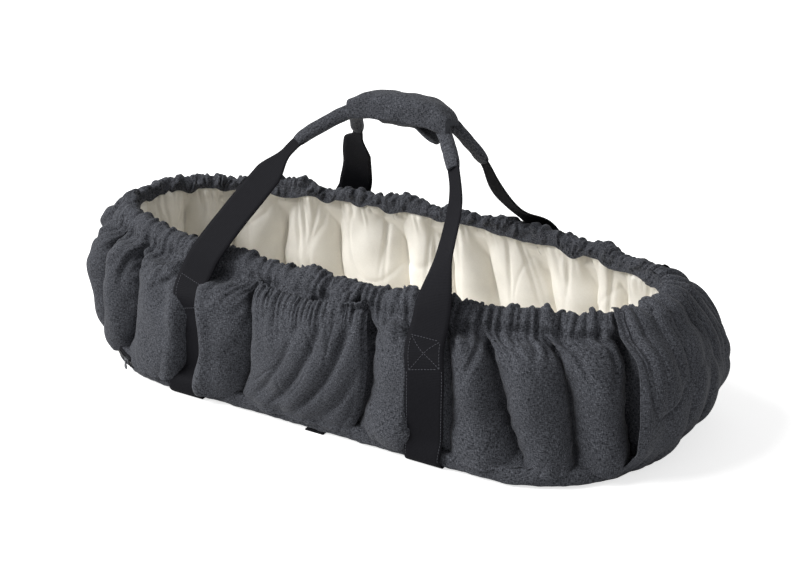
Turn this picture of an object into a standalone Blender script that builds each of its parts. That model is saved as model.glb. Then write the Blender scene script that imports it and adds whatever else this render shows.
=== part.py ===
"""Baby nest: a soft carrying nest with a stuffed channel wall, a zipped base,
two pockets, a foot cover and two carry handles that meet in a padded grip.

Frame: metres, +Z up, +X towards the foot end. The origin is the middle of the
footprint, on the surface that the nest lies on.
"""
import math

import bmesh
import bpy
import numpy as np
from mathutils import Vector

# Gap left between pieces that touch
GAP = 0.0003

# Webbing and the straps under the base
WEBBING_WIDTH = 0.045
WEBBING_THICKNESS = 0.002
MIDDLE_STRAP_WIDTH = 0.025
MIDDLE_STRAP_X = 0.013
STRAP_CLEARANCE = 0.0012

# Base tray, round at the head end and squarer at the foot end
BASE_HALF_LENGTH = 0.375
BASE_HALF_WIDTH = 0.178
BASE_FOOT_CORNER = 0.145
BASE_BAND_HEIGHT = 0.019
BASE_CLOTH = 0.0012
BOARD_THICKNESS = 0.003
BOARD_INSET = 0.006

# Stuffed wall: widest at the belly, drawn in by the rim
BELLY_HALF_LENGTH = 0.417
BELLY_HALF_WIDTH = 0.198
BELLY_SQUARENESS = 2.5
BELLY_HEIGHT = 0.095
WALL_ROUNDNESS = 0.65
LOBE_ROUNDNESS = 0.7
WALL_THICKNESS_BASE = 0.046
WALL_THICKNESS_BELLY = 0.062
SEAM_DEPTH_BASE = 0.003
SEAM_DEPTH_BELLY = 0.010
SEAM_DEPTH_RIM = 0.005
LINING_SEAM_SHARE = 0.85
COVER_CLOTH = 0.0012
FILL_CLEARANCE = 0.0005

# Rim casing and its elastic
RIM_HALF_LENGTH = 0.370
RIM_HALF_WIDTH = 0.138
RIM_SQUARENESS = 2.34
RIM_TOP = 0.180
CASING_HEIGHT = 0.0245
CASING_THICKNESS = 0.022
CASING_TOP_CLOTH = 0.006
ELASTIC_THICKNESS = 0.003
ELASTIC_HEIGHT = 0.015

# Channel seams, measured along the belly from the middle of each side
FRONT_SEAMS = (-0.144, -0.063, 0.017, 0.092, 0.177, 0.262, 0.345)
BACK_SEAMS = (-0.187, -0.072, 0.042, 0.141, 0.216, 0.274)
FOOT_END_CHANNELS = 5
HEAD_END_CHANNELS = 8

# Where the cross straps lie on each side, at the base and at the rim
HEAD_STRAP_BASE_X = -0.178
FOOT_STRAP_BASE_X = 0.168
FRONT_HEAD_HINGE_X = -0.159
FRONT_FOOT_HINGE_X = 0.156
BACK_HEAD_HINGE_X = -0.150
BACK_FOOT_HINGE_X = 0.130

# Foot cover
FOOT_COVER_REACH = 0.100
FOOT_COVER_CLOTH = 0.002
FOOT_COVER_STAND_OFF = 0.006
FOOT_COVER_FOLD = 0.0012
FOOT_COVER_FOLDS = 5

# Pockets
POCKET_CLOTH = 0.0012
POCKET_FULLNESS = 0.0045
POCKET_MOUTH_FULLNESS = 0.020
POCKET_EDGE_SHARE = 0.45
POCKET_CROWN_SHARE = 1.05
POCKET_BOTTOM = 0.034
POCKET_TOP = 0.150
POCKET_SAG = 0.008
POCKET_ELASTIC_HEIGHT = 0.008
POCKET_ELASTIC_THICKNESS = 0.001

# Mattress, small enough to lift out through the rim
MATTRESS_GAP = 0.013
MATTRESS_THICKNESS = 0.025
MATTRESS_ROUNDING = 0.0075

# Zip round the head end of the base
ZIP_START_DEG = 22.0
ZIP_END_DEG = 158.0
ZIP_TAPE_HEIGHT = 0.012
ZIP_TAPE_THICKNESS = 0.0008
ZIP_CHAIN_HEIGHT = 0.004
ZIP_CHAIN_THICKNESS = 0.0016
ZIP_CENTRE_HEIGHT = 0.0150
SLIDER_LENGTH = 0.011
SLIDER_WALL = 0.0012
SLIDER_CLEARANCE = 0.0004
SLIDER_DEG = 26.0
PULL_LENGTH = 0.0105
PULL_WIDTH = 0.006
PULL_THICKNESS = 0.0012

# Handles: the sleeves lie side by side in the grip
GRIP_HEIGHT = 0.344
GRIP_HEAD_X = -0.045
GRIP_FOOT_X = 0.095
SLEEVE_HEAD_REACH = 0.044
SLEEVE_FOOT_REACH = 0.026
SLEEVE_DROP = 0.050
SLEEVE_WIDTH = 0.022
SLEEVE_THICKNESS = 0.013
SLEEVE_SPACING = 0.0150
CORE_WIDTH = 0.018
CORE_THICKNESS = 0.003
CORE_CLEARANCE = 0.0009
HANDLE_LEAN = 0.89
LEAN_START = 0.030
LEAN_END = 0.045
HINGE_HEIGHT = 0.149
WRAP_THICKNESS = 0.005
WRAP_CLEARANCE = 0.0010
WRAP_OVERLAP = 0.0035
FLAP_HEAD_X = 0.000
FLAP_FOOT_X = 0.070
FLAP_THICKNESS = 0.0035
TAPE_DROP = 0.0010
TAPE_EDGE = 0.0010
FLAP_EDGE = 0.0010
FLAP_ROUNDING = 0.0010
FASTENER_THICKNESS = 0.0010
FASTENER_WIDTH = 0.010
FASTENER_LENGTH = 0.050

# Counts of facets
STEPS_PER_CHANNEL = 4
BASE_STEPS = 72
RIM_STEPS = 72
HANDLE_STEPS = 52
ZIP_STEPS = 24
MATTRESS_STEPS = 48
OUTLINE_SAMPLES = 600
ROUTE_SAMPLES = 40

# Heights that follow from the sizes above
BASE_UNDERSIDE = WEBBING_THICKNESS + GAP
BASE_TOP = BASE_UNDERSIDE + BASE_BAND_HEIGHT
WALL_BOTTOM = BASE_TOP + GAP
CASING_BOTTOM = RIM_TOP - CASING_HEIGHT
WALL_TOP = CASING_BOTTOM - GAP
LINING_FLOOR = WALL_BOTTOM + COVER_CLOTH
FOOT_COVER_PROUD = FOOT_COVER_STAND_OFF + FOOT_COVER_CLOTH + FOOT_COVER_FOLD

# The foot cover makes the nest longer at one end, so the wall sits back by half of that
NEST_X = -FOOT_COVER_PROUD / 2
ZIP_ARC_X = BASE_HALF_WIDTH - BASE_HALF_LENGTH
MATTRESS_HALF_LENGTH = BASE_HALF_LENGTH - WALL_THICKNESS_BASE - MATTRESS_GAP + NEST_X
MATTRESS_HALF_WIDTH = RIM_HALF_WIDTH - CASING_THICKNESS / 2 - MATTRESS_GAP


def srgb(code):
    """Turn a hex colour into linear red, green and blue."""
    values = [int(code[i:i + 2], 16) / 255 for i in (1, 3, 5)]
    linear = [v / 12.92 if v <= 0.04045 else ((v + 0.055) / 1.055) ** 2.4 for v in values]
    return (*linear, 1.0)


def make_material(name, colour, roughness, metallic=0.0):
    """A plain Principled material."""
    material = bpy.data.materials.new(name)
    material.use_nodes = True
    shader = material.node_tree.nodes["Principled BSDF"]
    shader.inputs["Base Color"].default_value = srgb(colour)
    shader.inputs["Roughness"].default_value = roughness
    shader.inputs["Metallic"].default_value = metallic
    material.diffuse_color = srgb(colour)
    return material


def make_piece(name, points, faces, material, parent=None, sharp_deg=50.0):
    """Make one named piece from world points, with its origin at its middle or its parent."""
    points = np.asarray(points, dtype=float)
    origin = (points.min(axis=0) + points.max(axis=0)) / 2
    if parent is not None:
        origin = np.array(parent.matrix_world.translation)
    mesh = bpy.data.meshes.new(name)
    mesh.from_pydata((points - origin).tolist(), [], faces)
    shell = bmesh.new()
    shell.from_mesh(mesh)
    bmesh.ops.recalc_face_normals(shell, faces=shell.faces)
    shell.to_mesh(mesh)
    shell.free()
    mesh.shade_smooth()
    mesh.set_sharp_from_angle(angle=math.radians(sharp_deg))
    mesh.materials.append(material)
    piece = bpy.data.objects.new(name, mesh)
    bpy.context.collection.objects.link(piece)
    if parent is None:
        piece.location = Vector(origin)
    else:
        piece.parent = parent
    return piece


def make_axis(name, place, parent=None):
    """An empty on a joint's axis, which carries the pieces that move about it."""
    axis = bpy.data.objects.new(name, None)
    axis.empty_display_size = 0.02
    bpy.context.collection.objects.link(axis)
    if parent is None:
        axis.location = Vector(place)
    else:
        axis.parent = parent
        axis.location = Vector(place) - parent.matrix_world.translation
    bpy.context.view_layer.update()
    return axis


def grid_faces(rows, columns, closed_rows=False, closed_columns=False):
    """Quads of a grid of points stored row by row."""
    faces = []
    for row in range(rows if closed_rows else rows - 1):
        for column in range(columns if closed_columns else columns - 1):
            after = (row + 1) % rows
            beside = (column + 1) % columns
            faces.append((row * columns + column, row * columns + beside,
                          after * columns + beside, after * columns + column))
    return faces


def swept_piece(name, sections, material, parent=None, closed=False, sharp_deg=50.0):
    """A profile ring carried along a path; the ends are capped unless the path is closed."""
    sections = np.asarray(sections)
    stations, corners = sections.shape[:2]
    faces = grid_faces(stations, corners, closed_rows=closed, closed_columns=True)
    if not closed:
        faces.append(tuple(range(corners)))
        faces.append(tuple((stations - 1) * corners + i for i in reversed(range(corners))))
    return make_piece(name, sections.reshape(-1, 3), faces, material, parent, sharp_deg)


def split_face(faces, a, b, c, d):
    """Add a four-sided face as two triangles that meet on the line from a to c."""
    faces.append((a, b, c))
    faces.append((a, c, d))


def sheet_piece(name, outside, inside, material, closed=False, floor=False, sharp_deg=50.0):
    """A sheet or pad between two grids of points, row by row from the bottom. Both faces are
    split along the same diagonals, so that layers laid on each other never cross."""
    rows, columns = outside.shape[:2]
    points = np.concatenate([outside.reshape(-1, 3), inside.reshape(-1, 3)])
    behind = rows * columns
    top = behind - columns
    faces = []
    for column in range(columns if closed else columns - 1):
        beside = (column + 1) % columns
        for low in range(0, top, columns):
            for first in (low, low + behind):
                split_face(faces, first + column, first + beside,
                           first + columns + beside, first + columns + column)
        faces.append((top + column, top + beside, top + behind + beside, top + behind + column))
        if not floor:
            faces.append((column, beside, behind + beside, behind + column))
    if not closed:
        for low in range(0, top, columns):
            for first in (low, low + columns - 1):
                split_face(faces, first, first + columns, first + columns + behind, first + behind)
    if floor:
        faces.append(tuple(range(columns)))
        faces.append(tuple(range(behind + columns - 1, behind - 1, -1)))
    make_piece(name, points, faces, material, sharp_deg=sharp_deg)


def block(name, low, high, material, parent=None, bevel=0.0):
    """A box between two corners, with rounded edges if a bevel is given."""
    low = np.array(low)
    high = np.array(high)
    corners = [(x, y, z) for z in (0, 1) for y in (0, 1) for x in (0, 1)]
    points = low + (high - low) * np.array(corners)
    faces = [(0, 1, 3, 2), (4, 6, 7, 5), (0, 4, 5, 1), (2, 3, 7, 6), (0, 2, 6, 4), (1, 5, 7, 3)]
    piece = make_piece(name, points, faces, material, parent)
    if bevel > 0:
        rounding = piece.modifiers.new("rounded edges", "BEVEL")
        rounding.width = bevel
        rounding.segments = 2
    return piece


class Outline:
    """A closed outline in plan. Its place runs from 0 at the foot tip, through 0.25 at the
    middle of the back side and 0.5 at the head tip, to 0.75 at the middle of the front."""

    def __init__(self, foot_quarter, head_quarter, centre_x=0.0):
        self.quarters = (foot_quarter, head_quarter)
        self.lengths = [self.running_length(q) for q in self.quarters]
        self.centre_x = centre_x

    @staticmethod
    def running_length(points):
        steps = np.linalg.norm(np.diff(points, axis=0), axis=1)
        return np.concatenate([[0.0], np.cumsum(steps)])

    def side_length(self, end=0):
        return self.lengths[end][-1]

    def points(self, places):
        """Plan points at places, each quarter being read by its own length of edge."""
        places = np.mod(np.asarray(places, dtype=float), 1.0)
        result = np.empty(places.shape + (2,))
        signs = ((1, 1, 0, False), (-1, 1, 1, True), (-1, -1, 1, False), (1, -1, 0, True))
        quarter = np.minimum((places * 4).astype(int), 3)
        for index, (sign_x, sign_y, end, backwards) in enumerate(signs):
            chosen = quarter == index
            along = places[chosen] * 4 - index
            along = 1 - along if backwards else along
            length = self.lengths[end]
            for axis, sign in ((0, sign_x), (1, sign_y)):
                values = np.interp(along * length[-1], length, self.quarters[end][:, axis])
                result[..., axis][chosen] = sign * values
        result[..., 0] += self.centre_x
        return result

    def normals(self, places):
        """Outward unit normals in plan, from the edge's direction on either side."""
        step = 0.004
        along = self.points(np.asarray(places) + step) - self.points(np.asarray(places) - step)
        normal = np.stack([along[..., 1], -along[..., 0]], axis=-1)
        return normal / np.linalg.norm(normal, axis=-1, keepdims=True)


def rounded_quarter(half_length, half_width, squareness):
    """Quarter of a rounded oblong: (x/a)^n + (y/b)^n = 1, from its tip to its side."""
    angle = np.linspace(0, math.pi / 2, OUTLINE_SAMPLES)
    x = half_length * np.cos(angle) ** (2 / squareness)
    y = half_width * np.sin(angle) ** (2 / squareness)
    return np.stack([x, y], axis=1)


def cornered_quarter(half_length, half_width, radius):
    """Quarter of a rectangle with a round corner, from the middle of its end to its side."""
    angle = np.linspace(0, math.pi / 2, OUTLINE_SAMPLES)
    corner_x = half_length - radius + radius * np.cos(angle)
    corner_y = half_width - radius + radius * np.sin(angle)
    x = np.concatenate([[half_length], corner_x, [0.0]])
    y = np.concatenate([[0.0], corner_y, [half_width]])
    return np.stack([x, y], axis=1)


def oblong(half_length, half_width, squareness, centre_x=NEST_X):
    quarter = rounded_quarter(half_length, half_width, squareness)
    return Outline(quarter, quarter, centre_x)


def base_outline(inset=0.0):
    """The base, moved inwards by an inset. Its head end is a half circle."""
    length = BASE_HALF_LENGTH - inset
    width = BASE_HALF_WIDTH - inset
    foot = cornered_quarter(length, width, max(BASE_FOOT_CORNER - inset, 0.02))
    return Outline(foot, cornered_quarter(length, width, width))


BASE = base_outline()
BASE_INSIDE = base_outline(WALL_THICKNESS_BASE)
BELLY = oblong(BELLY_HALF_LENGTH, BELLY_HALF_WIDTH, BELLY_SQUARENESS)
BELLY_INSIDE = oblong(BELLY_HALF_LENGTH - WALL_THICKNESS_BELLY,
                      BELLY_HALF_WIDTH - WALL_THICKNESS_BELLY, BELLY_SQUARENESS)
RIM = oblong(RIM_HALF_LENGTH, RIM_HALF_WIDTH, RIM_SQUARENESS)


def blend(start, end, share):
    return start + (end - start) * share


def wall_share(height):
    """How far the wall has drawn in from the belly towards its lower or upper edge, 0 to 1."""
    if height < BELLY_HEIGHT:
        reach = (BELLY_HEIGHT - height) / (BELLY_HEIGHT - WALL_BOTTOM)
    else:
        reach = (height - BELLY_HEIGHT) / (WALL_TOP - BELLY_HEIGHT)
    reach = min(max(reach, 0.0), 1.0)
    return 1 - (1 - reach ** 2) ** WALL_ROUNDNESS


def crest(places, height, proud=0.0, lining=False):
    """Points on the wall's crest surface at a height, outside or on the lining's side,
    moved outwards by proud."""
    places = np.asarray(places, dtype=float)
    belly = BELLY_INSIDE if lining else BELLY
    if height < BELLY_HEIGHT:
        edge = BASE_INSIDE if lining else BASE
        end = edge.points(places)
        end_normal = edge.normals(places)
    else:
        half = -CASING_THICKNESS / 2 if lining else CASING_THICKNESS / 2
        end_normal = RIM.normals(places)
        end = RIM.points(places) + end_normal * half
    share = wall_share(height)
    plan = blend(belly.points(places), end, share)
    normal = blend(belly.normals(places), end_normal, share)
    normal /= np.linalg.norm(normal, axis=-1, keepdims=True)
    plan = plan + normal * np.asarray(proud)[..., None]
    return np.concatenate([plan, np.full(places.shape + (1,), height)], axis=-1)


def seam_depth(height):
    end = SEAM_DEPTH_BASE if height < BELLY_HEIGHT else SEAM_DEPTH_RIM
    return blend(SEAM_DEPTH_BELLY, end, wall_share(height))


def seam_places():
    """Places of all channel seams, in order from the foot tip round the back."""
    side = 4 * BELLY.side_length()
    back = [0.25 - distance / side for distance in reversed(BACK_SEAMS)]
    front = [0.75 + distance / side for distance in FRONT_SEAMS]
    head = np.linspace(back[-1], front[0], HEAD_END_CHANNELS + 1)[1:-1]
    foot = np.linspace(front[-1], back[0] + 1, FOOT_END_CHANNELS + 1)[1:-1]
    return np.concatenate([back, head, front, foot])


SEAMS = seam_places()


def channel_places(index, steps):
    """Places across one channel, from its seam to the next one."""
    start = SEAMS[index]
    end = SEAMS[(index + 1) % len(SEAMS)]
    end = end + 1 if end < start else end
    return np.linspace(start, end, steps + 1)


def lobe(steps):
    """Share of the seam's depth across a channel: 1 at a seam, 0 on the crest."""
    across = np.linspace(0, 1, steps + 1)
    return 1 - np.abs(np.sin(math.pi * across)) ** LOBE_ROUNDNESS


def wall_heights():
    """Rows of the wall: closer together where it curves most."""
    lower = [BELLY_HEIGHT - reach * (BELLY_HEIGHT - WALL_BOTTOM) for reach in (1.0, 0.6)]
    upper = [BELLY_HEIGHT + reach * (WALL_TOP - BELLY_HEIGHT) for reach in (0.58, 0.85, 1.0)]
    return lower + [BELLY_HEIGHT] + upper


def all_columns():
    """Places and seam shares of every column round the wall."""
    places = [channel_places(i, STEPS_PER_CHANNEL)[:-1] for i in range(len(SEAMS))]
    return np.concatenate(places), np.tile(lobe(STEPS_PER_CHANNEL)[:-1], len(SEAMS))


def cover_rows(offset):
    """Outer cloth surface, row by row, moved inwards by an offset."""
    places, shares = all_columns()
    return np.array([crest(places, z, -offset - shares * seam_depth(z)) for z in wall_heights()])


def lining_rows(offset):
    """Inner cloth surface, row by row, moved outwards by an offset."""
    places, shares = all_columns()
    rows = []
    for z in wall_heights():
        rows.append(crest(places, z, shares * seam_depth(z) * LINING_SEAM_SHARE + offset, True))
    return np.array(rows)


def build_outer_cover(cloth):
    sheet_piece("outer_cover", cover_rows(0.0), cover_rows(COVER_CLOTH), cloth, closed=True)


def build_inner_lining(cotton):
    """Walls and floor of the lining in one sheet: a dish with a drawn wall."""
    inside = lining_rows(0.0)
    inside[0, :, 2] = LINING_FLOOR
    sheet_piece("inner_lining", lining_rows(COVER_CLOTH), inside, cotton, closed=True, floor=True)


def build_channel_fill(index, filling):
    """One stuffed pad: crowned outside and inside, narrow at its seams."""
    places = channel_places(index, STEPS_PER_CHANNEL)
    # The pad stops short of the seam on each side
    side_gap = FILL_CLEARANCE / (2 * BELLY.side_length())
    places[0] += side_gap
    places[-1] -= side_gap
    shares = lobe(STEPS_PER_CHANNEL)
    inset = COVER_CLOTH + FILL_CLEARANCE
    outside = []
    inside = []
    for z in wall_heights():
        depth = shares * seam_depth(z)
        outside.append(crest(places, z, -inset - depth))
        inside.append(crest(places, z, depth * LINING_SEAM_SHARE + inset, True))
    sheet_piece(f"channel_fill_{index + 1:02d}", np.array(outside), np.array(inside), filling)


def ring_sections(outline, profile, steps):
    """Sections of a ring: each profile point is (distance outwards, height)."""
    places = np.arange(steps) / steps
    plan = outline.points(places)
    normal = outline.normals(places)
    sections = []
    for distance, height in profile:
        point = plan + normal * distance
        sections.append(np.concatenate([point, np.full((steps, 1), height)], axis=1))
    return np.array(sections).transpose(1, 0, 2)


def build_rim_casing(cloth):
    """A tunnel of bunched cloth, folded over the elastic and open below."""
    half = CASING_THICKNESS / 2
    slot = ELASTIC_THICKNESS / 2 + GAP
    slot_top = RIM_TOP - CASING_TOP_CLOTH
    profile = [(half, CASING_BOTTOM), (half, RIM_TOP - half * 0.6), (half * 0.6, RIM_TOP - half * 0.12),
               (0.0, RIM_TOP), (-half * 0.6, RIM_TOP - half * 0.12), (-half, RIM_TOP - half * 0.6),
               (-half, CASING_BOTTOM), (-slot, CASING_BOTTOM), (-slot, slot_top), (slot, slot_top),
               (slot, CASING_BOTTOM)]
    sections = ring_sections(RIM, profile, RIM_STEPS)
    swept_piece("rim_casing", sections, cloth, closed=True)


def build_rim_elastic(rubber):
    half = ELASTIC_THICKNESS / 2
    top = RIM_TOP - CASING_TOP_CLOTH - GAP
    profile = [(half, top - ELASTIC_HEIGHT), (half, top), (-half, top), (-half, top - ELASTIC_HEIGHT)]
    swept_piece("rim_elastic", ring_sections(RIM, profile, RIM_STEPS), rubber, closed=True)


def slab(name, outline, low, high, material):
    """A flat plate with a given outline."""
    places = np.arange(BASE_STEPS) / BASE_STEPS
    plan = outline.points(places)
    rows = [np.concatenate([plan, np.full((BASE_STEPS, 1), z)], axis=1) for z in (low, high)]
    swept_piece(name, np.array(rows), material)


def build_base(cloth, board, foam):
    """The cloth tray, its stiff board and the padding over the board."""
    places = np.arange(BASE_STEPS) / BASE_STEPS
    rows = []
    floor = BASE_UNDERSIDE + BASE_CLOTH
    tray = ((0.0, BASE_UNDERSIDE), (0.0, BASE_TOP), (BASE_CLOTH, BASE_TOP), (BASE_CLOTH, floor))
    for inset, height in tray:
        plan = base_outline(inset).points(places)
        rows.append(np.concatenate([plan, np.full((BASE_STEPS, 1), height)], axis=1))
    swept_piece("base_cover", np.array(rows), cloth)
    inner = base_outline(BASE_CLOTH + BOARD_INSET)
    board_top = floor + GAP + BOARD_THICKNESS
    slab("base_board", inner, floor + GAP, board_top, board)
    slab("base_padding", inner, board_top + GAP, BASE_TOP - GAP, foam)


def build_mattress(cotton):
    """Loose mattress with rounded edges, lying on the lining's floor."""
    bottom = LINING_FLOOR + GAP
    edge = MATTRESS_ROUNDING
    rows = []
    heights = ((edge * 0.5, 0.0), (0.0, edge), (0.0, MATTRESS_THICKNESS - edge),
               (edge, MATTRESS_THICKNESS))
    for inset, rise in heights:
        outline = oblong(MATTRESS_HALF_LENGTH - inset, MATTRESS_HALF_WIDTH - inset,
                         RIM_SQUARENESS)
        plan = outline.points(np.arange(MATTRESS_STEPS) / MATTRESS_STEPS)
        level = np.full((MATTRESS_STEPS, 1), bottom + rise)
        rows.append(np.concatenate([plan, level], axis=1))
    axis = make_axis("mattress_lift_axis", (NEST_X, 0.0, bottom))
    swept_piece("mattress", np.array(rows), cotton, parent=axis)


def place_at_x(outline, x, side):
    """The place on an outline's front (-1) or back (+1) side where it has a given x."""
    places = np.linspace(0.5, 1.0, 2001) if side < 0 else np.linspace(0.0, 0.5, 2001)
    xs = outline.points(places)[:, 0]
    if side < 0:
        return float(np.interp(x, xs, places))
    return float(np.interp(-x, -xs, places))


def strap_places(outline, x, side):
    """Places of a strap's two edges and its middle."""
    half = WEBBING_WIDTH / 2
    return np.array([place_at_x(outline, x + shift, side) for shift in (-half, 0.0, half)])


def strap_rows(base_x, rim_x, side, proud):
    """Rows of points up a cross strap, from under the base edge to its box stitch."""
    low = strap_places(BASE, base_x, side)
    high = strap_places(RIM, rim_x, side)
    heights = [BASE_UNDERSIDE] + [z for z in wall_heights() if z < HINGE_HEIGHT - GAP]
    rows = []
    for height in heights:
        share = (height - BASE_UNDERSIDE) / (HINGE_HEIGHT - BASE_UNDERSIDE)
        rows.append(crest(blend(low, high, share), height, proud))
    return np.array(rows)


def build_cross_strap(name, base_x, front_x, back_x, webbing):
    """A strap under the base, with one strip up the front wall and one up the back."""
    half = WEBBING_WIDTH / 2
    reach = BASE_HALF_WIDTH + STRAP_CLEARANCE + WEBBING_THICKNESS
    block(name + "_under", (base_x - half, -reach, 0.0), (base_x + half, reach, WEBBING_THICKNESS),
          webbing)
    for side, label, rim_x in ((-1, "_front", front_x), (1, "_back", back_x)):
        inner = strap_rows(base_x, rim_x, side, STRAP_CLEARANCE)
        outer = strap_rows(base_x, rim_x, side, STRAP_CLEARANCE + WEBBING_THICKNESS)
        sheet_piece(name + label, outer, inner, webbing, sharp_deg=30.0)


def build_middle_strap(webbing):
    half = MIDDLE_STRAP_WIDTH / 2
    reach = BASE_HALF_WIDTH
    block("middle_strap", (MIDDLE_STRAP_X - half, -reach, 0.0),
          (MIDDLE_STRAP_X + half, reach, WEBBING_THICKNESS), webbing)


def foot_cover_rows(proud):
    """Rows of the foot cover, from under the base edge over the rim."""
    reach = FOOT_COVER_REACH / (4 * BELLY.side_length())
    places = np.linspace(-reach, reach, 4 * FOOT_COVER_FOLDS + 1)
    folds = FOOT_COVER_FOLD * np.cos(np.linspace(0, 2 * math.pi * FOOT_COVER_FOLDS, len(places)))
    rows = [crest(places, z, proud + folds) for z in [BASE_UNDERSIDE + GAP] + wall_heights()]
    top = crest(places, WALL_TOP, proud + folds)
    top[:, 2] = RIM_TOP
    return np.array(rows + [top])


def build_foot_cover(cloth):
    inner = foot_cover_rows(FOOT_COVER_STAND_OFF)
    outer = foot_cover_rows(FOOT_COVER_STAND_OFF + FOOT_COVER_CLOTH)
    sheet_piece("foot_cover", outer, inner, cloth)


def pocket_columns(side):
    """Places and fullness across a pocket: sewn down in the seams at its two edges, and flat
    enough beside them that a handle laid open passes its corners."""
    seams = FRONT_SEAMS[1:4] if side < 0 else BACK_SEAMS[1:4]
    length = 4 * BELLY.side_length()
    middle = 0.75 if side < 0 else 0.25
    stops = [middle - side * distance / length for distance in seams]
    left = np.linspace(stops[0], stops[1], STEPS_PER_CHANNEL + 1)
    right = np.linspace(stops[1], stops[2], STEPS_PER_CHANNEL + 1)[1:]
    half = [0.0, POCKET_EDGE_SHARE, 1.0, POCKET_CROWN_SHARE]
    fullness = np.array(half + [1.0] + half[::-1])
    return np.concatenate([left, right]), fullness


def pocket_rows(side, inwards):
    """Rows of a pocket from a lower height up to its mouth, which sags in the middle."""
    places, fullness = pocket_columns(side)
    edge = 1.0 - np.sign(fullness)
    hem = POCKET_TOP - POCKET_ELASTIC_HEIGHT
    heights = [z for z in wall_heights() if POCKET_BOTTOM < z < hem - POCKET_ELASTIC_HEIGHT]
    rows = []
    for height in [POCKET_BOTTOM] + heights + [hem, POCKET_TOP]:
        level = (height - POCKET_BOTTOM) / (POCKET_TOP - POCKET_BOTTOM)
        full = blend(POCKET_FULLNESS, POCKET_MOUTH_FULLNESS, level ** 3)
        # The two side edges lie down in their seams
        sewn = edge * (full + seam_depth(height) - POCKET_CLOTH - COVER_CLOTH)
        row = crest(places, height, full * np.maximum(fullness, edge) - sewn - inwards)
        row[:, 2] -= POCKET_SAG * np.sin(math.pi * np.linspace(0, 1, len(places))) * level ** 2
        rows.append(row)
    return np.array(rows)


def build_pocket(name, side, cloth, rubber):
    """A pocket panel with its elastic inside the mouth."""
    outer = pocket_rows(side, 0.0)
    inner = pocket_rows(side, POCKET_CLOTH)
    sheet_piece(name, outer, inner, cloth)
    behind = POCKET_CLOTH + GAP
    hem_outer = pocket_rows(side, behind)[-2:, 1:-1]
    hem_inner = pocket_rows(side, behind + POCKET_ELASTIC_THICKNESS)[-2:, 1:-1]
    sheet_piece(name + "_elastic", hem_outer, hem_inner, rubber)


def zip_sections(profile, start_deg, end_deg, steps):
    """Sections of a strip round the head end: profile points are (radius, height)."""
    sections = []
    for angle in np.radians(np.linspace(start_deg, end_deg, steps + 1)):
        direction = np.array([-math.sin(angle), -math.cos(angle), 0.0])
        ring = [np.array([ZIP_ARC_X, 0.0, height]) + direction * radius
                for radius, height in profile]
        sections.append(ring)
    return np.array(sections)


def band_profile(inner, outer, height):
    low = ZIP_CENTRE_HEIGHT - height / 2
    high = ZIP_CENTRE_HEIGHT + height / 2
    return [(inner, low), (outer, low), (outer, high), (inner, high)]


def build_zip(tape_cloth, coil, metal):
    """Tape and chain round the head end, with a slider that straddles the chain."""
    tape_in = BASE_HALF_WIDTH + GAP
    tape_out = tape_in + ZIP_TAPE_THICKNESS
    chain_in = tape_out + GAP
    chain_out = chain_in + ZIP_CHAIN_THICKNESS
    swept_piece("zip_tape", zip_sections(band_profile(tape_in, tape_out, ZIP_TAPE_HEIGHT),
                                         ZIP_START_DEG, ZIP_END_DEG, ZIP_STEPS), tape_cloth)
    swept_piece("zip_chain", zip_sections(band_profile(chain_in, chain_out, ZIP_CHAIN_HEIGHT),
                                          ZIP_START_DEG, ZIP_END_DEG, ZIP_STEPS), coil)
    build_slider(chain_in, chain_out, metal)


def build_slider(chain_in, chain_out, metal):
    """Slider with a wall above and below the chain, and a pull hung under it on a pin."""
    inner = ZIP_CHAIN_HEIGHT / 2 + SLIDER_CLEARANCE
    outer = inner + SLIDER_WALL
    face_in = chain_out + SLIDER_CLEARANCE
    face_out = face_in + SLIDER_WALL
    middle = ZIP_CENTRE_HEIGHT
    profile = [(chain_in, middle - outer), (face_out, middle - outer), (face_out, middle + outer),
               (chain_in, middle + outer), (chain_in, middle + inner), (face_in, middle + inner),
               (face_in, middle - inner), (chain_in, middle - inner)]
    half_deg = math.degrees(SLIDER_LENGTH / 2 / BASE_HALF_WIDTH)
    arc_axis = make_axis("zip_slider_axis", (ZIP_ARC_X, 0.0, middle))
    sections = zip_sections(profile, SLIDER_DEG - half_deg, SLIDER_DEG + half_deg, 4)
    swept_piece("zip_slider", sections, metal, parent=arc_axis, sharp_deg=30.0)
    build_pull(face_out, middle, arc_axis, metal)


def build_pull(radius, height, arc_axis, metal):
    """Flat pull that hangs from its upper edge, just outside the slider's face."""
    angle = math.radians(SLIDER_DEG)
    outward = np.array([-math.sin(angle), -math.cos(angle), 0.0])
    along = np.array([-math.cos(angle), math.sin(angle), 0.0])
    up = np.array([0.0, 0.0, 1.0])
    middle = np.array([ZIP_ARC_X, 0.0, height])
    pin = middle + outward * (radius + GAP + PULL_THICKNESS / 2)
    axis = make_axis("zip_pull_axis", pin, parent=arc_axis)
    half = PULL_WIDTH / 2
    outline = [(-half * 0.6, PULL_THICKNESS / 2), (half * 0.6, PULL_THICKNESS / 2),
               (half * 0.6, -PULL_LENGTH * 0.45), (half, -PULL_LENGTH * 0.6),
               (half, -PULL_LENGTH * 0.9), (half * 0.6, -PULL_LENGTH), (-half * 0.6, -PULL_LENGTH),
               (-half, -PULL_LENGTH * 0.9), (-half, -PULL_LENGTH * 0.6),
               (-half * 0.6, -PULL_LENGTH * 0.45)]
    faces = []
    for depth in (-PULL_THICKNESS / 2, PULL_THICKNESS / 2):
        faces.append([pin + along * a + up * b + outward * depth for a, b in outline])
    swept_piece("zip_pull", np.array(faces), metal, parent=axis, sharp_deg=30.0)


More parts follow.
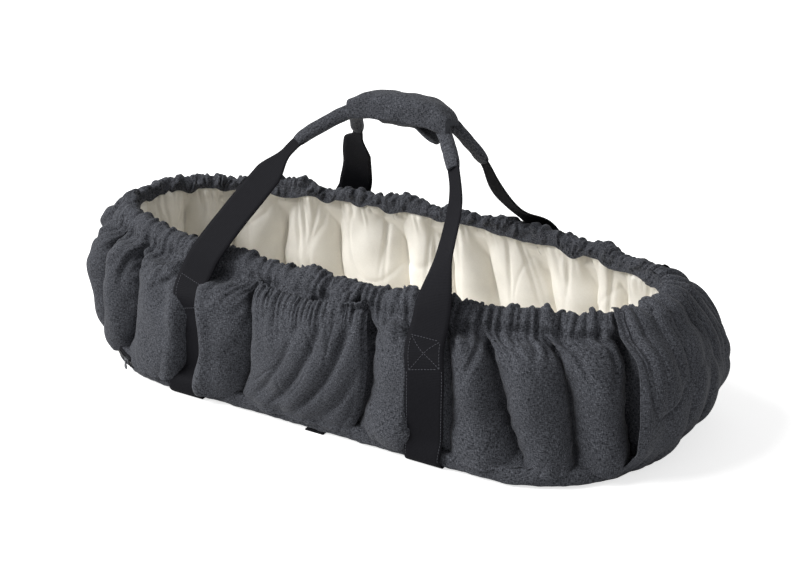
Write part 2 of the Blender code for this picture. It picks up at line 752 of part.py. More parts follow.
def lean(height):
    """How fast the handle's surface leans inwards as it rises: none at the rim or the grip."""
    start = np.clip((height - HINGE_HEIGHT) / LEAN_START, 0, 1)
    end = np.clip((GRIP_HEIGHT - height) / LEAN_END, 0, 1)
    return HANDLE_LEAN * start ** 2 * (3 - 2 * start) * end


def handle_route(hinge_y, head_x, foot_x):
    """Points of the front handle's middle line, from its head hinge over the grip to its foot."""
    side = -SLEEVE_SPACING / 2
    top = GRIP_HEIGHT
    rise = top - HINGE_HEIGHT
    drop = side - hinge_y

    def leg(x, share_up, share_in):
        return (x, hinge_y + drop * share_in, HINGE_HEIGHT + rise * share_up)

    head = [leg(head_x, 0.0, 0.0), leg(head_x + 0.003, 0.11, 0.03), leg(head_x + 0.020, 0.29, 0.17),
            leg(head_x + 0.044, 0.53, 0.43), leg(GRIP_HEAD_X - SLEEVE_HEAD_REACH, 0.765, 0.69),
            leg(GRIP_HEAD_X - SLEEVE_HEAD_REACH / 2, 0.862, 0.84), leg(GRIP_HEAD_X, 0.934, 0.96)]
    foot = [leg(GRIP_FOOT_X, 0.934, 0.96), leg(GRIP_FOOT_X + SLEEVE_FOOT_REACH * 0.6, 0.865, 0.84),
            leg(GRIP_FOOT_X + SLEEVE_FOOT_REACH, 0.765, 0.69), leg(foot_x - 0.014, 0.53, 0.43),
            leg(foot_x - 0.004, 0.29, 0.17), leg(foot_x, 0.11, 0.03), leg(foot_x, 0.0, 0.0)]
    over = [(GRIP_HEAD_X + 0.026, side, top - 0.003), (GRIP_HEAD_X + 0.050, side, top),
            (GRIP_FOOT_X - 0.045, side, top), (GRIP_FOOT_X - 0.022, side, top - 0.003)]
    return np.array(head + over + foot)


def smooth_route(points, steps):
    """A Catmull-Rom curve through the points, read at even distances."""
    padded = np.concatenate([[2 * points[0] - points[1]], points, [2 * points[-1] - points[-2]]])
    dense = []
    for i in range(len(points) - 1):
        a, b, c, d = padded[i:i + 4]
        t = np.linspace(0, 1, ROUTE_SAMPLES, endpoint=False)[:, None]
        dense.append(0.5 * (2 * b + (c - a) * t + (2 * a - 5 * b + 4 * c - d) * t ** 2
                            + (3 * b - a - 3 * c + d) * t ** 3))
    dense = np.concatenate(dense + [points[-1:]])
    length = Outline.running_length(dense)
    even = np.linspace(0, length[-1], steps + 1)
    return np.stack([np.interp(even, length, dense[:, k]) for k in range(3)], axis=1)


def frames(route):
    """Width and thickness directions along a handle that hangs in its own leaning plane."""
    tangent = np.gradient(route, axis=0)
    tangent /= np.linalg.norm(tangent, axis=1, keepdims=True)
    slope = lean(route[:, 2])
    face = np.stack([np.zeros(len(route)), -np.ones(len(route)), slope], axis=1)
    wide = np.cross(tangent, face)
    wide /= np.linalg.norm(wide, axis=1, keepdims=True)
    face = np.cross(wide, tangent)
    return wide, face


class Handle:
    """The route and local directions of one handle; side is -1 in front and +1 behind."""

    def __init__(self, side, head_x, foot_x):
        # The straight hinge line clears the wall at the strap edges nearest the middle
        edges = np.concatenate([strap_places(RIM, x, side) for x in (head_x, foot_x)])
        wall = np.abs(crest(edges, HINGE_HEIGHT)[:, 1]).max()
        self.hinge_y = -(wall + STRAP_CLEARANCE + WEBBING_THICKNESS)
        self.side = side
        self.route = smooth_route(handle_route(self.hinge_y, head_x, foot_x), HANDLE_STEPS)
        self.wide, self.face = frames(self.route)
        length = Outline.running_length(self.route)
        self.share = length / length[-1]

    def section(self, index, profile):
        """Profile points (along the face direction, along the width) at one station."""
        ring = [self.route[index] + self.face[index] * out + self.wide[index] * up
                for out, up in profile]
        ring = np.array(ring)
        ring[:, 1] *= -self.side
        return ring

    def stations_between(self, low_x, high_x):
        """Stations of the raised stretch whose x lies between two limits."""
        xs = self.route[:, 0]
        raised = self.route[:, 2] > GRIP_HEIGHT - SLEEVE_DROP
        return list(np.where((xs >= low_x) & (xs <= high_x) & raised)[0])


def rounded_profile(thickness, width, corners=8):
    """A flattened oval: thickness across the face, width along it."""
    angle = np.arange(corners) * 2 * math.pi / corners + math.pi / corners
    swell = np.cos(math.pi / corners)
    return [(thickness / 2 * math.cos(a) / swell, width / 2 * math.sin(a) / swell) for a in angle]


def flat_profile(thickness, width):
    return [(thickness / 2, -width / 2), (thickness / 2, width / 2),
            (-thickness / 2, width / 2), (-thickness / 2, -width / 2)]


def sleeve_stations(handle):
    return handle.stations_between(GRIP_HEAD_X - SLEEVE_HEAD_REACH, GRIP_FOOT_X + SLEEVE_FOOT_REACH)


def build_handle_webbing(name, handle, axis, webbing):
    """One webbing from box stitch to box stitch, folded narrow where the sleeve holds it."""
    covered = sleeve_stations(handle)
    start = handle.share[covered[0]]
    end = handle.share[covered[-1]]
    sections = []
    for index, share in enumerate(handle.share):
        fold = min(max((share - start * 0.45) / (start * 0.5), 0), 1)
        fold *= min(max((1 - share - (1 - end) * 0.45) / ((1 - end) * 0.5), 0), 1)
        width = blend(WEBBING_WIDTH, CORE_WIDTH, fold)
        thickness = blend(WEBBING_THICKNESS, CORE_THICKNESS, fold)
        sections.append(handle.section(index, flat_profile(thickness, width)))
    swept_piece(name, np.array(sections), webbing, parent=axis)


def build_sleeve(name, handle, axis, cloth):
    """Padded cloth tube round the folded webbing, open at both ends."""
    stations = sleeve_stations(handle)
    outer = rounded_profile(SLEEVE_THICKNESS, SLEEVE_WIDTH)
    bore_x = CORE_THICKNESS / 2 + CORE_CLEARANCE
    bore_y = CORE_WIDTH / 2 + CORE_CLEARANCE
    bore = [(bore_x, bore_y * 0.4), (bore_x, bore_y), (-bore_x, bore_y), (-bore_x, bore_y * 0.4),
            (-bore_x, -bore_y * 0.4), (-bore_x, -bore_y), (bore_x, -bore_y), (bore_x, -bore_y * 0.4)]
    corners = len(outer)
    points = []
    for index in stations:
        points.append(handle.section(index, outer))
        points.append(handle.section(index, bore))
    points = np.array(points).reshape(-1, 3)
    faces = []
    ring = 2 * corners
    for station in range(len(stations) - 1):
        for layer in (0, corners):
            for i in range(corners):
                a = station * ring + layer + i
                b = station * ring + layer + (i + 1) % corners
                faces.append((a, b, b + ring, a + ring))
    for end in (0, (len(stations) - 1) * ring):
        for i in range(corners):
            a = end + i
            b = end + (i + 1) % corners
            faces.append((a, b, b + corners, a + corners))
    make_piece(name, points, faces, cloth, axis)


def build_grip_wrap(handle, axis, cloth):
    """Padded panel over the front sleeve and the ridge, open towards the back."""
    inner = SLEEVE_THICKNESS / 2 + WRAP_CLEARANCE
    outer = inner + WRAP_THICKNESS
    top_in = SLEEVE_WIDTH / 2 + WRAP_CLEARANCE
    top_out = top_in + WRAP_THICKNESS
    reach = -(SLEEVE_SPACING / 2 + WRAP_OVERLAP)
    rounding = WRAP_THICKNESS * 0.3
    edge = (reach - WRAP_THICKNESS * 0.2, (top_in + top_out) / 2)
    profile = [(inner, -top_in), (inner, top_in), (reach, top_in), edge, (reach, top_out),
               (inner, top_out), (outer - rounding, top_out - rounding),
               (outer, top_out - WRAP_THICKNESS), (outer, -top_in)]
    stations = handle.stations_between(GRIP_HEAD_X, GRIP_FOOT_X)
    sections = [handle.section(i, [(out, -up) for out, up in profile]) for i in stations]
    swept_piece("grip_wrap", np.array(sections), cloth, parent=axis)


def build_grip_flap(axis, flap_y, flap_z, cloth, hook):
    """Flap under both sleeves, hinged on the wrap's lower front edge, with its hook tape."""
    middle = (FLAP_HEAD_X + FLAP_FOOT_X) / 2
    flap_axis = make_axis("grip_flap_axis", (middle, flap_y, flap_z), axis)
    half = FLAP_THICKNESS / 2
    tape_y = tape_far_edge()
    block("grip_flap", (FLAP_HEAD_X, flap_y - half, flap_z - half),
          (FLAP_FOOT_X, tape_y + FLAP_EDGE, flap_z + half), cloth, flap_axis, FLAP_ROUNDING)
    tape_block("flap_hook_tape", flap_z + half + GAP, hook, flap_axis)


def tape_far_edge():
    """The back edge of both tapes, just past the back sleeve's side."""
    return SLEEVE_SPACING / 2 + SLEEVE_THICKNESS / 2 + TAPE_EDGE


def tape_block(name, low, tape, axis):
    """One strip of hook or loop tape, at the middle of the flap's length."""
    middle = (FLAP_HEAD_X + FLAP_FOOT_X) / 2
    far_y = tape_far_edge()
    block(name, (middle - FASTENER_LENGTH / 2, far_y - FASTENER_WIDTH, low),
          (middle + FASTENER_LENGTH / 2, far_y, low + FASTENER_THICKNESS), tape, axis)


def build_handles(cloth, webbing, hook):
    front = Handle(-1, FRONT_HEAD_HINGE_X, FRONT_FOOT_HINGE_X)
    back = Handle(1, BACK_HEAD_HINGE_X, BACK_FOOT_HINGE_X)
    front_axis = make_axis("front_handle_axis", (0.0, front.hinge_y, HINGE_HEIGHT))
    back_axis = make_axis("back_handle_axis", (0.0, -back.hinge_y, HINGE_HEIGHT))
    for label, handle, axis in (("front", front, front_axis), ("back", back, back_axis)):
        build_handle_webbing(f"{label}_handle_webbing", handle, axis, webbing)
        build_sleeve(f"{label}_sleeve", handle, axis, cloth)
    build_grip_wrap(front, front_axis, cloth)
    # The tapes and the flap hang below the lowest part of the sleeves that they cross
    crossed = front.stations_between(FLAP_HEAD_X, FLAP_FOOT_X)
    underside = front.route[crossed, 2].min() - SLEEVE_WIDTH / 2 - TAPE_DROP
    loop_low = underside - GAP - FASTENER_THICKNESS
    hook_low = loop_low - GAP - FASTENER_THICKNESS
    flap_z = hook_low - GAP - FLAP_THICKNESS / 2
    flap_y = -(SLEEVE_SPACING / 2 + SLEEVE_THICKNESS / 2 + WRAP_CLEARANCE + WRAP_THICKNESS / 2)
    build_grip_flap(front_axis, flap_y, flap_z, cloth, hook)
    tape_block("sleeve_loop_tape", loop_low, hook, back_axis)


def clear_scene():
    for thing in list(bpy.data.objects):
        bpy.data.objects.remove(thing, do_unlink=True)


def build_nest():
    chambray = make_material("charcoal chambray", "#3f4248", 0.9)
    cotton = make_material("off-white cotton", "#e8e2d4", 0.85)
    filling = make_material("stuffing", "#efece4", 1.0)
    webbing = make_material("black webbing", "#26262c", 0.8)
    rubber = make_material("elastic", "#dcdcd8", 0.7)
    board = make_material("stiffening board", "#8a8a86", 0.5)
    foam = make_material("padding foam", "#d8d4cc", 0.95)
    coil = make_material("zip coil", "#1e1f22", 0.45)
    metal = make_material("zip metal", "#8d8f92", 0.35, 1.0)
    hook = make_material("hook and loop tape", "#2b2c30", 0.95)

    build_base(chambray, board, foam)
    build_outer_cover(chambray)
    build_inner_lining(cotton)
    for index in range(len(SEAMS)):
        build_channel_fill(index, filling)
    build_rim_casing(chambray)
    build_rim_elastic(rubber)
    build_mattress(cotton)
    build_cross_strap("head_strap", HEAD_STRAP_BASE_X, FRONT_HEAD_HINGE_X, BACK_HEAD_HINGE_X, webbing)
    build_cross_strap("foot_strap", FOOT_STRAP_BASE_X, FRONT_FOOT_HINGE_X, BACK_FOOT_HINGE_X, webbing)
    build_middle_strap(webbing)
    build_pocket("front_pocket", -1, chambray, rubber)
    build_pocket("back_pocket", 1, chambray, rubber)
    build_foot_cover(chambray)
    build_zip(webbing, coil, metal)
    build_handles(chambray, webbing, hook)


clear_scene()
build_nest()
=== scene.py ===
"""The looks of a baby nest: charcoal chambray channels round an off-white lining, a ruffled
rim, pockets, a foot cover, a zipped base and two webbing handles that meet in a padded grip.

Frame: metres, +Z up, +X towards the foot end, -Y is the front side.
A place runs round the nest from 0 at the foot tip, through 0.25 at the middle of the back
and 0.5 at the head tip, to 0.75 at the middle of the front.
"""
import math

import bmesh
import bpy
import numpy as np
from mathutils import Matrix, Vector


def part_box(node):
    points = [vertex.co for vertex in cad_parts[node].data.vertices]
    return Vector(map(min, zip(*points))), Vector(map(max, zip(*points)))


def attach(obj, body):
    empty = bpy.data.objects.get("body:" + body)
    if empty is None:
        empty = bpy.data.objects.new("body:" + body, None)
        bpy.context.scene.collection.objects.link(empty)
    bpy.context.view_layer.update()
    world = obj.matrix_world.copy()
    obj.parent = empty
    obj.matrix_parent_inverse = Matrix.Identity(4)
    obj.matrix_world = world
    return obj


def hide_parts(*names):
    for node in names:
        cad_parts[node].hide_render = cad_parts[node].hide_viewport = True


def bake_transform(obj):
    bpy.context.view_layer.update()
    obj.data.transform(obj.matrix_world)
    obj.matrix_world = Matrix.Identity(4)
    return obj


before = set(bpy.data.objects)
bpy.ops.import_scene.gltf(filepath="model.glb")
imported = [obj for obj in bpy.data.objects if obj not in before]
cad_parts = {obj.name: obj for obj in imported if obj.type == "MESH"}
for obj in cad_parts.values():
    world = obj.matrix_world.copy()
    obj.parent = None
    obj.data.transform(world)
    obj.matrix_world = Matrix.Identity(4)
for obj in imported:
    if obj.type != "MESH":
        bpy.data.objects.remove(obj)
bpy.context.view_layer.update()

# Heights of the wall's base edge, its widest line, and its top outside and inside; the floor
WALL_BOTTOM = 0.0216
BELLY_HEIGHT = 0.095
WALL_TOP = 0.1552
LINING_TOP = 0.1667
LINING_FLOOR = 0.0228
# Plan shapes: x of the nest's middle; half length and half width of the base and radius of its
# foot corners; half length, half width and squareness of the belly and the rim
NEST_X = -0.0046
BASE_SIZE = (0.375, 0.178)
BASE_FOOT_CORNER = 0.145
BELLY_SIZE = (0.417, 0.198, 2.5)
RIM_SIZE = (0.370, 0.138, 2.34)
# Thickness of the stuffed wall at the belly and at the base, half the rim casing's, and the
# power of the cosine that rounds the wall's section
BELLY_THICKNESS = 0.062
BASE_THICKNESS = 0.046
CASING_HALF = 0.011
ROUNDNESS = 1.3

# Seams of one side, as distances along the belly from the side's middle towards the foot:
# at the rim, at the belly and at the base
OUTER_SEAMS = ((-0.440, -0.430, -0.430), (-0.377, -0.352, -0.388), (-0.316, -0.272, -0.322),
               (-0.194, -0.152, -0.186), (-0.090, -0.064, -0.098), (0.010, 0.016, 0.002),
               (0.085, 0.092, 0.070), (0.192, 0.190, 0.190), (0.253, 0.251, 0.291),
               (0.330, 0.331, 0.354), (0.415, 0.404, 0.430))
LINING_SEAMS = ((-0.434, -0.447, -0.447), (-0.369, -0.374, -0.374), (-0.271, -0.286, -0.300),
                (-0.190, -0.190, -0.189), (-0.077, -0.067, -0.060), (0.004, 0.017, 0.030),
                (0.066, 0.089, 0.115), (0.168, 0.197, 0.215), (0.268, 0.283, 0.290),
                (0.327, 0.338, 0.345), (0.410, 0.415, 0.420))
# Depth of the seams' valleys at the belly outside and inside, and at the rim and base; the
# power of the sine that rounds a channel between two seams
OUTER_SEAM_DEPTH = 0.036
LINING_SEAM_DEPTH = 0.024
SEAM_DEPTH_ENDS = 0.007
LOBE_ROUNDNESS = 0.60

# Straps: side, distances of the middle line at the rim, belly and base, x of the box stitch,
# and half the width that shows between the channels
WEBBING_WIDTH = 0.045
WEBBING_THICKNESS = 0.0018
STRAPS = {"front_head": (-1, (-0.190, -0.151, -0.185), -0.159, 0.008),
          "front_foot": (-1, (0.170, 0.170, 0.168), 0.156, 0.0215),
          "back_head": (1, (-0.175, -0.178, -0.192), -0.150, 0.015),
          "back_foot": (1, (0.162, 0.168, 0.176), 0.130, 0.0215)}
# How far each strap lies in the valley between its channels
STRAP_SINK = {"front_head": 0.0150, "front_foot": 0.0035, "back_head": 0.0060,
              "back_foot": 0.0035}
# Height of both handles' hinge lines, and their distance from the middle plane
HINGE_HEIGHT = 0.149
HINGE_Y = {"front": 0.16306, "back": 0.16507}
# Free webbing between the box stitch and the sleeve: how far it twists in its lower half and at
# its top, in degrees, and the share of the way from which it is folded narrow
LEG_TWIST = {"front_head": (4, 8), "front_foot": (40, 22), "back_head": (12, 22),
             "back_foot": (18, 12)}
LEG_FOLD = {"front_head": 0.78, "front_foot": 0.34, "back_head": 0.76, "back_foot": 0.35}
# How each leg and sleeve end hangs, as (distance from the middle plane, x, height): the foot
# ends drop sooner than the padded grip does, and the back handle's legs are slack
HANGING = {
    "front_foot": ((0.0075, 0.0740, 0.3400), (0.0115, 0.0859, 0.3280), (0.0269, 0.1013, 0.3155),
                   (0.0458, 0.1173, 0.3035), (0.0631, 0.1305, 0.2890), (0.0790, 0.1400, 0.2745),
                   (0.0950, 0.1455, 0.2590), (0.1116, 0.1485, 0.2400), (0.1283, 0.1503, 0.2178),
                   (0.1438, 0.1532, 0.1958), (0.1568, 0.1558, 0.1737), (0.1631, 0.1560, 0.1490)),
    "back_foot": ((0.0075, 0.0740, 0.3400), (0.0114, 0.0873, 0.3290), (0.0267, 0.0935, 0.3110),
                  (0.0451, 0.0996, 0.2905), (0.0632, 0.1022, 0.2690), (0.0801, 0.1010, 0.2475),
                  (0.0968, 0.1018, 0.2270), (0.1138, 0.1054, 0.2080), (0.1304, 0.1139, 0.1930),
                  (0.1458, 0.1230, 0.1830), (0.1588, 0.1290, 0.1720), (0.1651, 0.1300, 0.1490)),
    "back_head": ((0.0204, -0.0543, 0.3250), (0.0362, -0.0640, 0.3135), (0.0522, -0.0725, 0.2990),
                  (0.0687, -0.0815, 0.2810), (0.0851, -0.0922, 0.2635), (0.1013, -0.1042, 0.2440),
                  (0.1173, -0.1147, 0.2258), (0.1329, -0.1234, 0.2080), (0.1470, -0.1340, 0.1900),
                  (0.1590, -0.1460, 0.1700), (0.1651, -0.1500, 0.1490))}
# Distance from the middle plane at which a sleeve ends
SLEEVE_REACH = {"front_head": 0.055, "front_foot": 0.050, "back_head": 0.066, "back_foot": 0.057}

# Height of the handles' middle line at the grip, and distance between the two sleeves there
GRIP_HEIGHT = 0.344
SLEEVE_SPACING = 0.015
# Half thickness and half width of a sleeve, points round it, and steps of a handle's line
SLEEVE_SECTION = (0.0060, 0.0088)
SLEEVE_COLUMNS = 28
HANDLE_STEPS = 260
# Box stitch: its lower and upper height, and the share of the webbing's half width to its sides;
# below it a line of stitches runs down beside each edge
BOX_HEIGHTS = (0.118, 0.148)
BOX_SHARE = 0.78
EDGE_SHARE = 0.90

# Wrap's flap: x of its middle, y of its hinge, height of its middle surface, half its length and
# its width
FLAP_X = 0.038
FLAP_HINGE_Y = -0.0175
FLAP_HEIGHT = 0.32576
FLAP_HALF_LENGTH = 0.038
FLAP_WIDTH = 0.0330

# Section of the rim casing: distance outwards from the middle of the rim, and height. Its
# outer side slopes down to the channels and its inner side stands upright.
CASING_SECTION = ((0.0122, 0.1605), (0.0116, 0.1640), (0.0104, 0.1678), (0.0084, 0.1715),
                  (0.0056, 0.1750), (0.0018, 0.1780), (-0.0030, 0.1800), (-0.0080, 0.1797),
                  (-0.0116, 0.1776), (-0.0136, 0.1740), (-0.0146, 0.1706), (-0.0154, 0.1672),
                  (-0.0160, 0.1636))
# Share of that section at which the casing is stitched down
STITCH_SHARE = 0.27
# Depths of the sharp tucks that run from the channels' tops into the casing
RIM_TUCKS = (0.0040, 0.0085)
# Section of the base cover: distance outwards from the base's outline, and height
BASE_SECTION = ((-0.014, 0.0222), (-0.006, 0.0220), (-0.001, 0.0212), (0.0006, 0.0180),
                (0.0010, 0.0130), (0.0006, 0.0080), (-0.0006, 0.0045), (-0.004, 0.0026),
                (-0.010, 0.0023))
# Foot cover: its sections under the base's outline and over the rim's, as distance outwards and
# height, and its two side edges as distances from the foot tip at the rim, belly and base
COVER_UNDER = ((-0.030, 0.0021), (-0.012, 0.0021), (0.0010, 0.0026), (0.0058, 0.0060),
               (0.0078, 0.0120))
COVER_OVER = ((0.0200, 0.163), (0.0185, 0.171), (0.0150, 0.1785), (0.0090, 0.1835),
              (0.0010, 0.1850), (-0.0070, 0.1845), (-0.0140, 0.1800))
COVER_NEAR = (-0.098, -0.117, -0.108)
COVER_FAR = (0.114, 0.112, 0.140)
# Mattress: half length, half width and squareness; height of its middle, half its thickness,
# and the spacing of its quilting
MATTRESS_SIZE = (0.3114, 0.114, 2.34)
MATTRESS_HEIGHT = 0.0356
MATTRESS_HALF = 0.0125
QUILT = 0.055
# Zip: x of the middle of its half circle, and the angles from the front side at its two ends
ZIP_X = -0.197
ZIP_TURN = (22, 158)

# Light: strengths of the world, of the sun and of the floor's own brightness to the camera; the
# sun's width and direction. Camera: lens and sensor width in mm, its place and what it looks at
WORLD_LIGHT = 0.32
SUN_LIGHT = 3.6
SUN_WIDTH = 40
SUN_DIRECTION = (0.61, 0.50, -0.61)
FLOOR_GLOW = 0.70
LENS = 72
SENSOR = 36
CAMERA_PLACE = (0.94484, -1.52548, 0.85981)
CAMERA_AIM = (0.0207, 0.0, 0.1172)

# Distance between a cloth grid's columns, and the seed that all random draws start from
SPACING = 0.0043
SEED = 7


def unit(vectors):
    """Vectors scaled to a length of 1."""
    return vectors / np.linalg.norm(vectors, axis=-1, keepdims=True)


def run_along(points):
    """Distance along a line of points, from its first one."""
    return np.concatenate([[0], np.cumsum(np.linalg.norm(np.diff(points, axis=0), axis=1))])


def read_line(values, run, at):
    """A line's values at distances along it, straight between two of its points."""
    return np.stack([np.interp(at, run, values[:, k]) for k in range(values.shape[1])], -1)


def even_steps(points, steps):
    """A line of points read again at even steps along it."""
    run = run_along(points)
    return read_line(points, run, np.linspace(0, run[-1], steps + 1))


def quarter_oval(half_length, half_width, squareness):
    """Quarter of a rounded oblong: x is a times cos^(2/n), y is b times sin^(2/n)."""
    angle = np.linspace(0, math.pi / 2, 600)
    return np.stack([half_length * np.cos(angle) ** (2 / squareness),
                     half_width * np.sin(angle) ** (2 / squareness)], 1)


def quarter_corner(half_length, half_width, radius):
    """Quarter of a rectangle whose corner is an arc of a given radius."""
    angle = np.linspace(0, math.pi / 2, 600)
    arc = np.stack([half_length - radius + radius * np.cos(angle),
                    half_width - radius + radius * np.sin(angle)], 1)
    return np.concatenate([[[half_length, 0.0]], arc, [[0.0, half_width]]])


def plan_loop(foot, head, centre_x):
    """A closed plan outline at even steps along each quarter, from its foot and head quarters."""
    foot, head = even_steps(foot, 600), even_steps(head, 600)
    loop = np.concatenate([foot[:-1], (head * [-1, 1])[::-1][:-1], (head * [-1, -1])[:-1],
                           (foot * [1, -1])[::-1]])
    return loop + [centre_x, 0.0]


def oblong(half_length, half_width, squareness):
    """A rounded oblong round the nest's middle: four times the same quarter."""
    quarter = quarter_oval(half_length, half_width, squareness)
    return plan_loop(quarter, quarter, NEST_X)


def base_loop(inset):
    """The base, moved inwards: an arc at each foot corner, a half circle at the head end."""
    length, width = BASE_SIZE[0] - inset, BASE_SIZE[1] - inset
    corner = max(BASE_FOOT_CORNER - inset, 0.02)
    return plan_loop(quarter_corner(length, width, corner),
                     quarter_corner(length, width, width), 0.0)


def plan_at(loop, places):
    """Plan points of a loop at places."""
    return read_line(loop, np.arange(len(loop)), np.mod(places, 1.0) * (len(loop) - 1))


def plan_normal(loop, places):
    """Outward unit normals in plan: the direction between two near points, turned by 90 degrees."""
    step = 0.004
    along = plan_at(loop, places + step) - plan_at(loop, places - step)
    return unit(np.stack([along[..., 1], -along[..., 0]], -1))


def beside(loop, places, out, height):
    """Points at a distance outwards from a plan outline, all at one height."""
    plan = plan_at(loop, places) + plan_normal(loop, places) * out
    return np.concatenate([plan, np.full((len(places), 1), height)], 1)


def run_length(loop):
    """Length of a closed outline."""
    return float(np.linalg.norm(np.diff(loop, axis=0), axis=1).sum())


BASE = base_loop(0.0)
BASE_INNER = base_loop(BASE_THICKNESS)
BELLY = oblong(*BELLY_SIZE)
BELLY_INNER = oblong(BELLY_SIZE[0] - BELLY_THICKNESS, BELLY_SIZE[1] - BELLY_THICKNESS,
                     BELLY_SIZE[2])
RIM = oblong(*RIM_SIZE)
BELLY_RUN = run_length(BELLY)


def wall(places, angles, proud=0.0, inner=False):
    """The wall's crest surface. The height follows the sine of an angle, -90 degrees at the
    base edge, 0 at the belly and 90 at the rim; the plan is drawn in from the belly by one
    minus a power of the cosine. proud moves a point outwards along the plan normal."""
    places, angles, proud = np.broadcast_arrays(places, angles, proud)
    low = (angles < 0)[..., None]
    rise = np.where(angles < 0, BELLY_HEIGHT - WALL_BOTTOM, WALL_TOP - BELLY_HEIGHT)
    height = BELLY_HEIGHT + np.sin(angles) * rise
    drawn = (1 - np.abs(np.cos(angles)) ** ROUNDNESS)[..., None]
    belly, base = (BELLY_INNER, BASE_INNER) if inner else (BELLY, BASE)
    rim_normal = plan_normal(RIM, places)
    half = -CASING_HALF if inner else CASING_HALF
    end = np.where(low, plan_at(base, places), plan_at(RIM, places) + rim_normal * half)
    end_normal = np.where(low, plan_normal(base, places), rim_normal)
    normal = unit(plan_normal(belly, places) * (1 - drawn) + end_normal * drawn)
    plan = plan_at(belly, places) * (1 - drawn) + end * drawn + normal * proud[..., None]
    return np.concatenate([plan, height[..., None]], -1)


def surface_normals(points, wrap=False):
    """Unit normals of a grid of points: the cross product of its two directions."""
    if wrap:
        along = np.roll(points, -1, 1) - np.roll(points, 1, 1)
    else:
        along = np.gradient(points, axis=1)
    up = np.gradient(points, axis=0)
    normal = np.cross(along, up)
    return normal / np.maximum(np.linalg.norm(normal, axis=-1, keepdims=True), 1e-12)


def smooth(share):
    """Ease from 0 to 1: a share s, held between the two, gives 3 s^2 - 2 s^3."""
    share = np.clip(share, 0, 1)
    return share * share * (3 - 2 * share)


def seam_places(seams):
    """Places of all seams at the rim, belly and base: the foot tip, the back side towards the
    head, the head tip, and the front side towards the foot."""
    side = np.array(seams) / BELLY_RUN
    tip = np.ones((1, 3))
    return np.concatenate([0.0 * tip, 0.25 - side[::-1], 0.5 * tip, 0.75 + side, tip])


def bent_line(span, level):
    """Places of a line that bends through its places at the rim, belly and base: a parabola over
    the level, which is 1, 0 and -1 there."""
    rim, belly, base = span
    return belly + level * (rim - base) / 2 + level ** 2 * ((rim + base) / 2 - belly)


def edge_places(span, angles):
    """Places of one bent line at each angle, from its places at the rim, belly and base."""
    return bent_line(span, np.sin(angles))


def seam_grid(seams, angles):
    """Places of a grid whose columns follow the seams, one row for each angle, and each column's
    share across its own channel."""
    stops = seam_places(seams)
    left, shares = [], []
    for index, width in enumerate(np.diff(stops[:, 1]) * BELLY_RUN):
        count = max(int(round(width / SPACING)), 8)
        left.append(np.full(count, index))
        shares.append(np.arange(count) / count)
    left, shares = np.concatenate(left), np.concatenate(shares)
    lines = bent_line(stops.T, np.sin(angles)[:, None])
    return lines[:, left] * (1 - shares) + lines[:, left + 1] * shares, shares


def put_mesh(name, points, faces, uv=None):
    """A mesh object from arrays: faces of four or three corners, UV in metres for each corner."""
    mesh = bpy.data.meshes.new(name)
    mesh.from_pydata(points.reshape(-1, 3).tolist(), [], faces.tolist())
    if uv is not None:
        layer = mesh.uv_layers.new(name="cloth")
        layer.data.foreach_set("uv", uv.reshape(-1).astype(np.float32))
    mesh.shade_smooth()
    piece = bpy.data.objects.new(name, mesh)
    bpy.context.scene.collection.objects.link(piece)
    return piece


def cloth_uv(across, along, shape):
    """UV of a grid: its lengths across and along, in metres."""
    return np.broadcast_to(across, shape), np.broadcast_to(along, shape)


def grid_piece(name, points, uv=None, wrap=False, caps=False):
    """A surface over a grid of points, row by row; wrap closes its columns on themselves, and
    its uv then has one column more. caps closes the two ends of such a tube."""
    rows, columns = points.shape[:2]
    r = np.arange(rows - 1)[:, None]
    c = np.arange(columns if wrap else columns - 1)[None, :]
    corners = [(r, c), (r, c + 1), (r + 1, c + 1), (r + 1, c)]
    faces = np.stack([a * columns + b % columns for a, b in corners], -1).reshape(-1, 4)
    loops = None
    if uv is not None:
        loops = np.stack([np.stack([side[a, b] for a, b in corners], -1) for side in uv], -1)
    piece = put_mesh(name, points, faces, loops)
    if caps:
        cap_ends(piece, rows, columns)
    return piece


def cap_ends(piece, rows, columns):
    """Close both ends of a tube with one face each."""
    shell = bmesh.new()
    shell.from_mesh(piece.data)
    shell.verts.ensure_lookup_table()
    shell.faces.new([shell.verts[i] for i in reversed(range(columns))])
    shell.faces.new([shell.verts[(rows - 1) * columns + i] for i in range(columns)])
    shell.to_mesh(piece.data)
    shell.free()


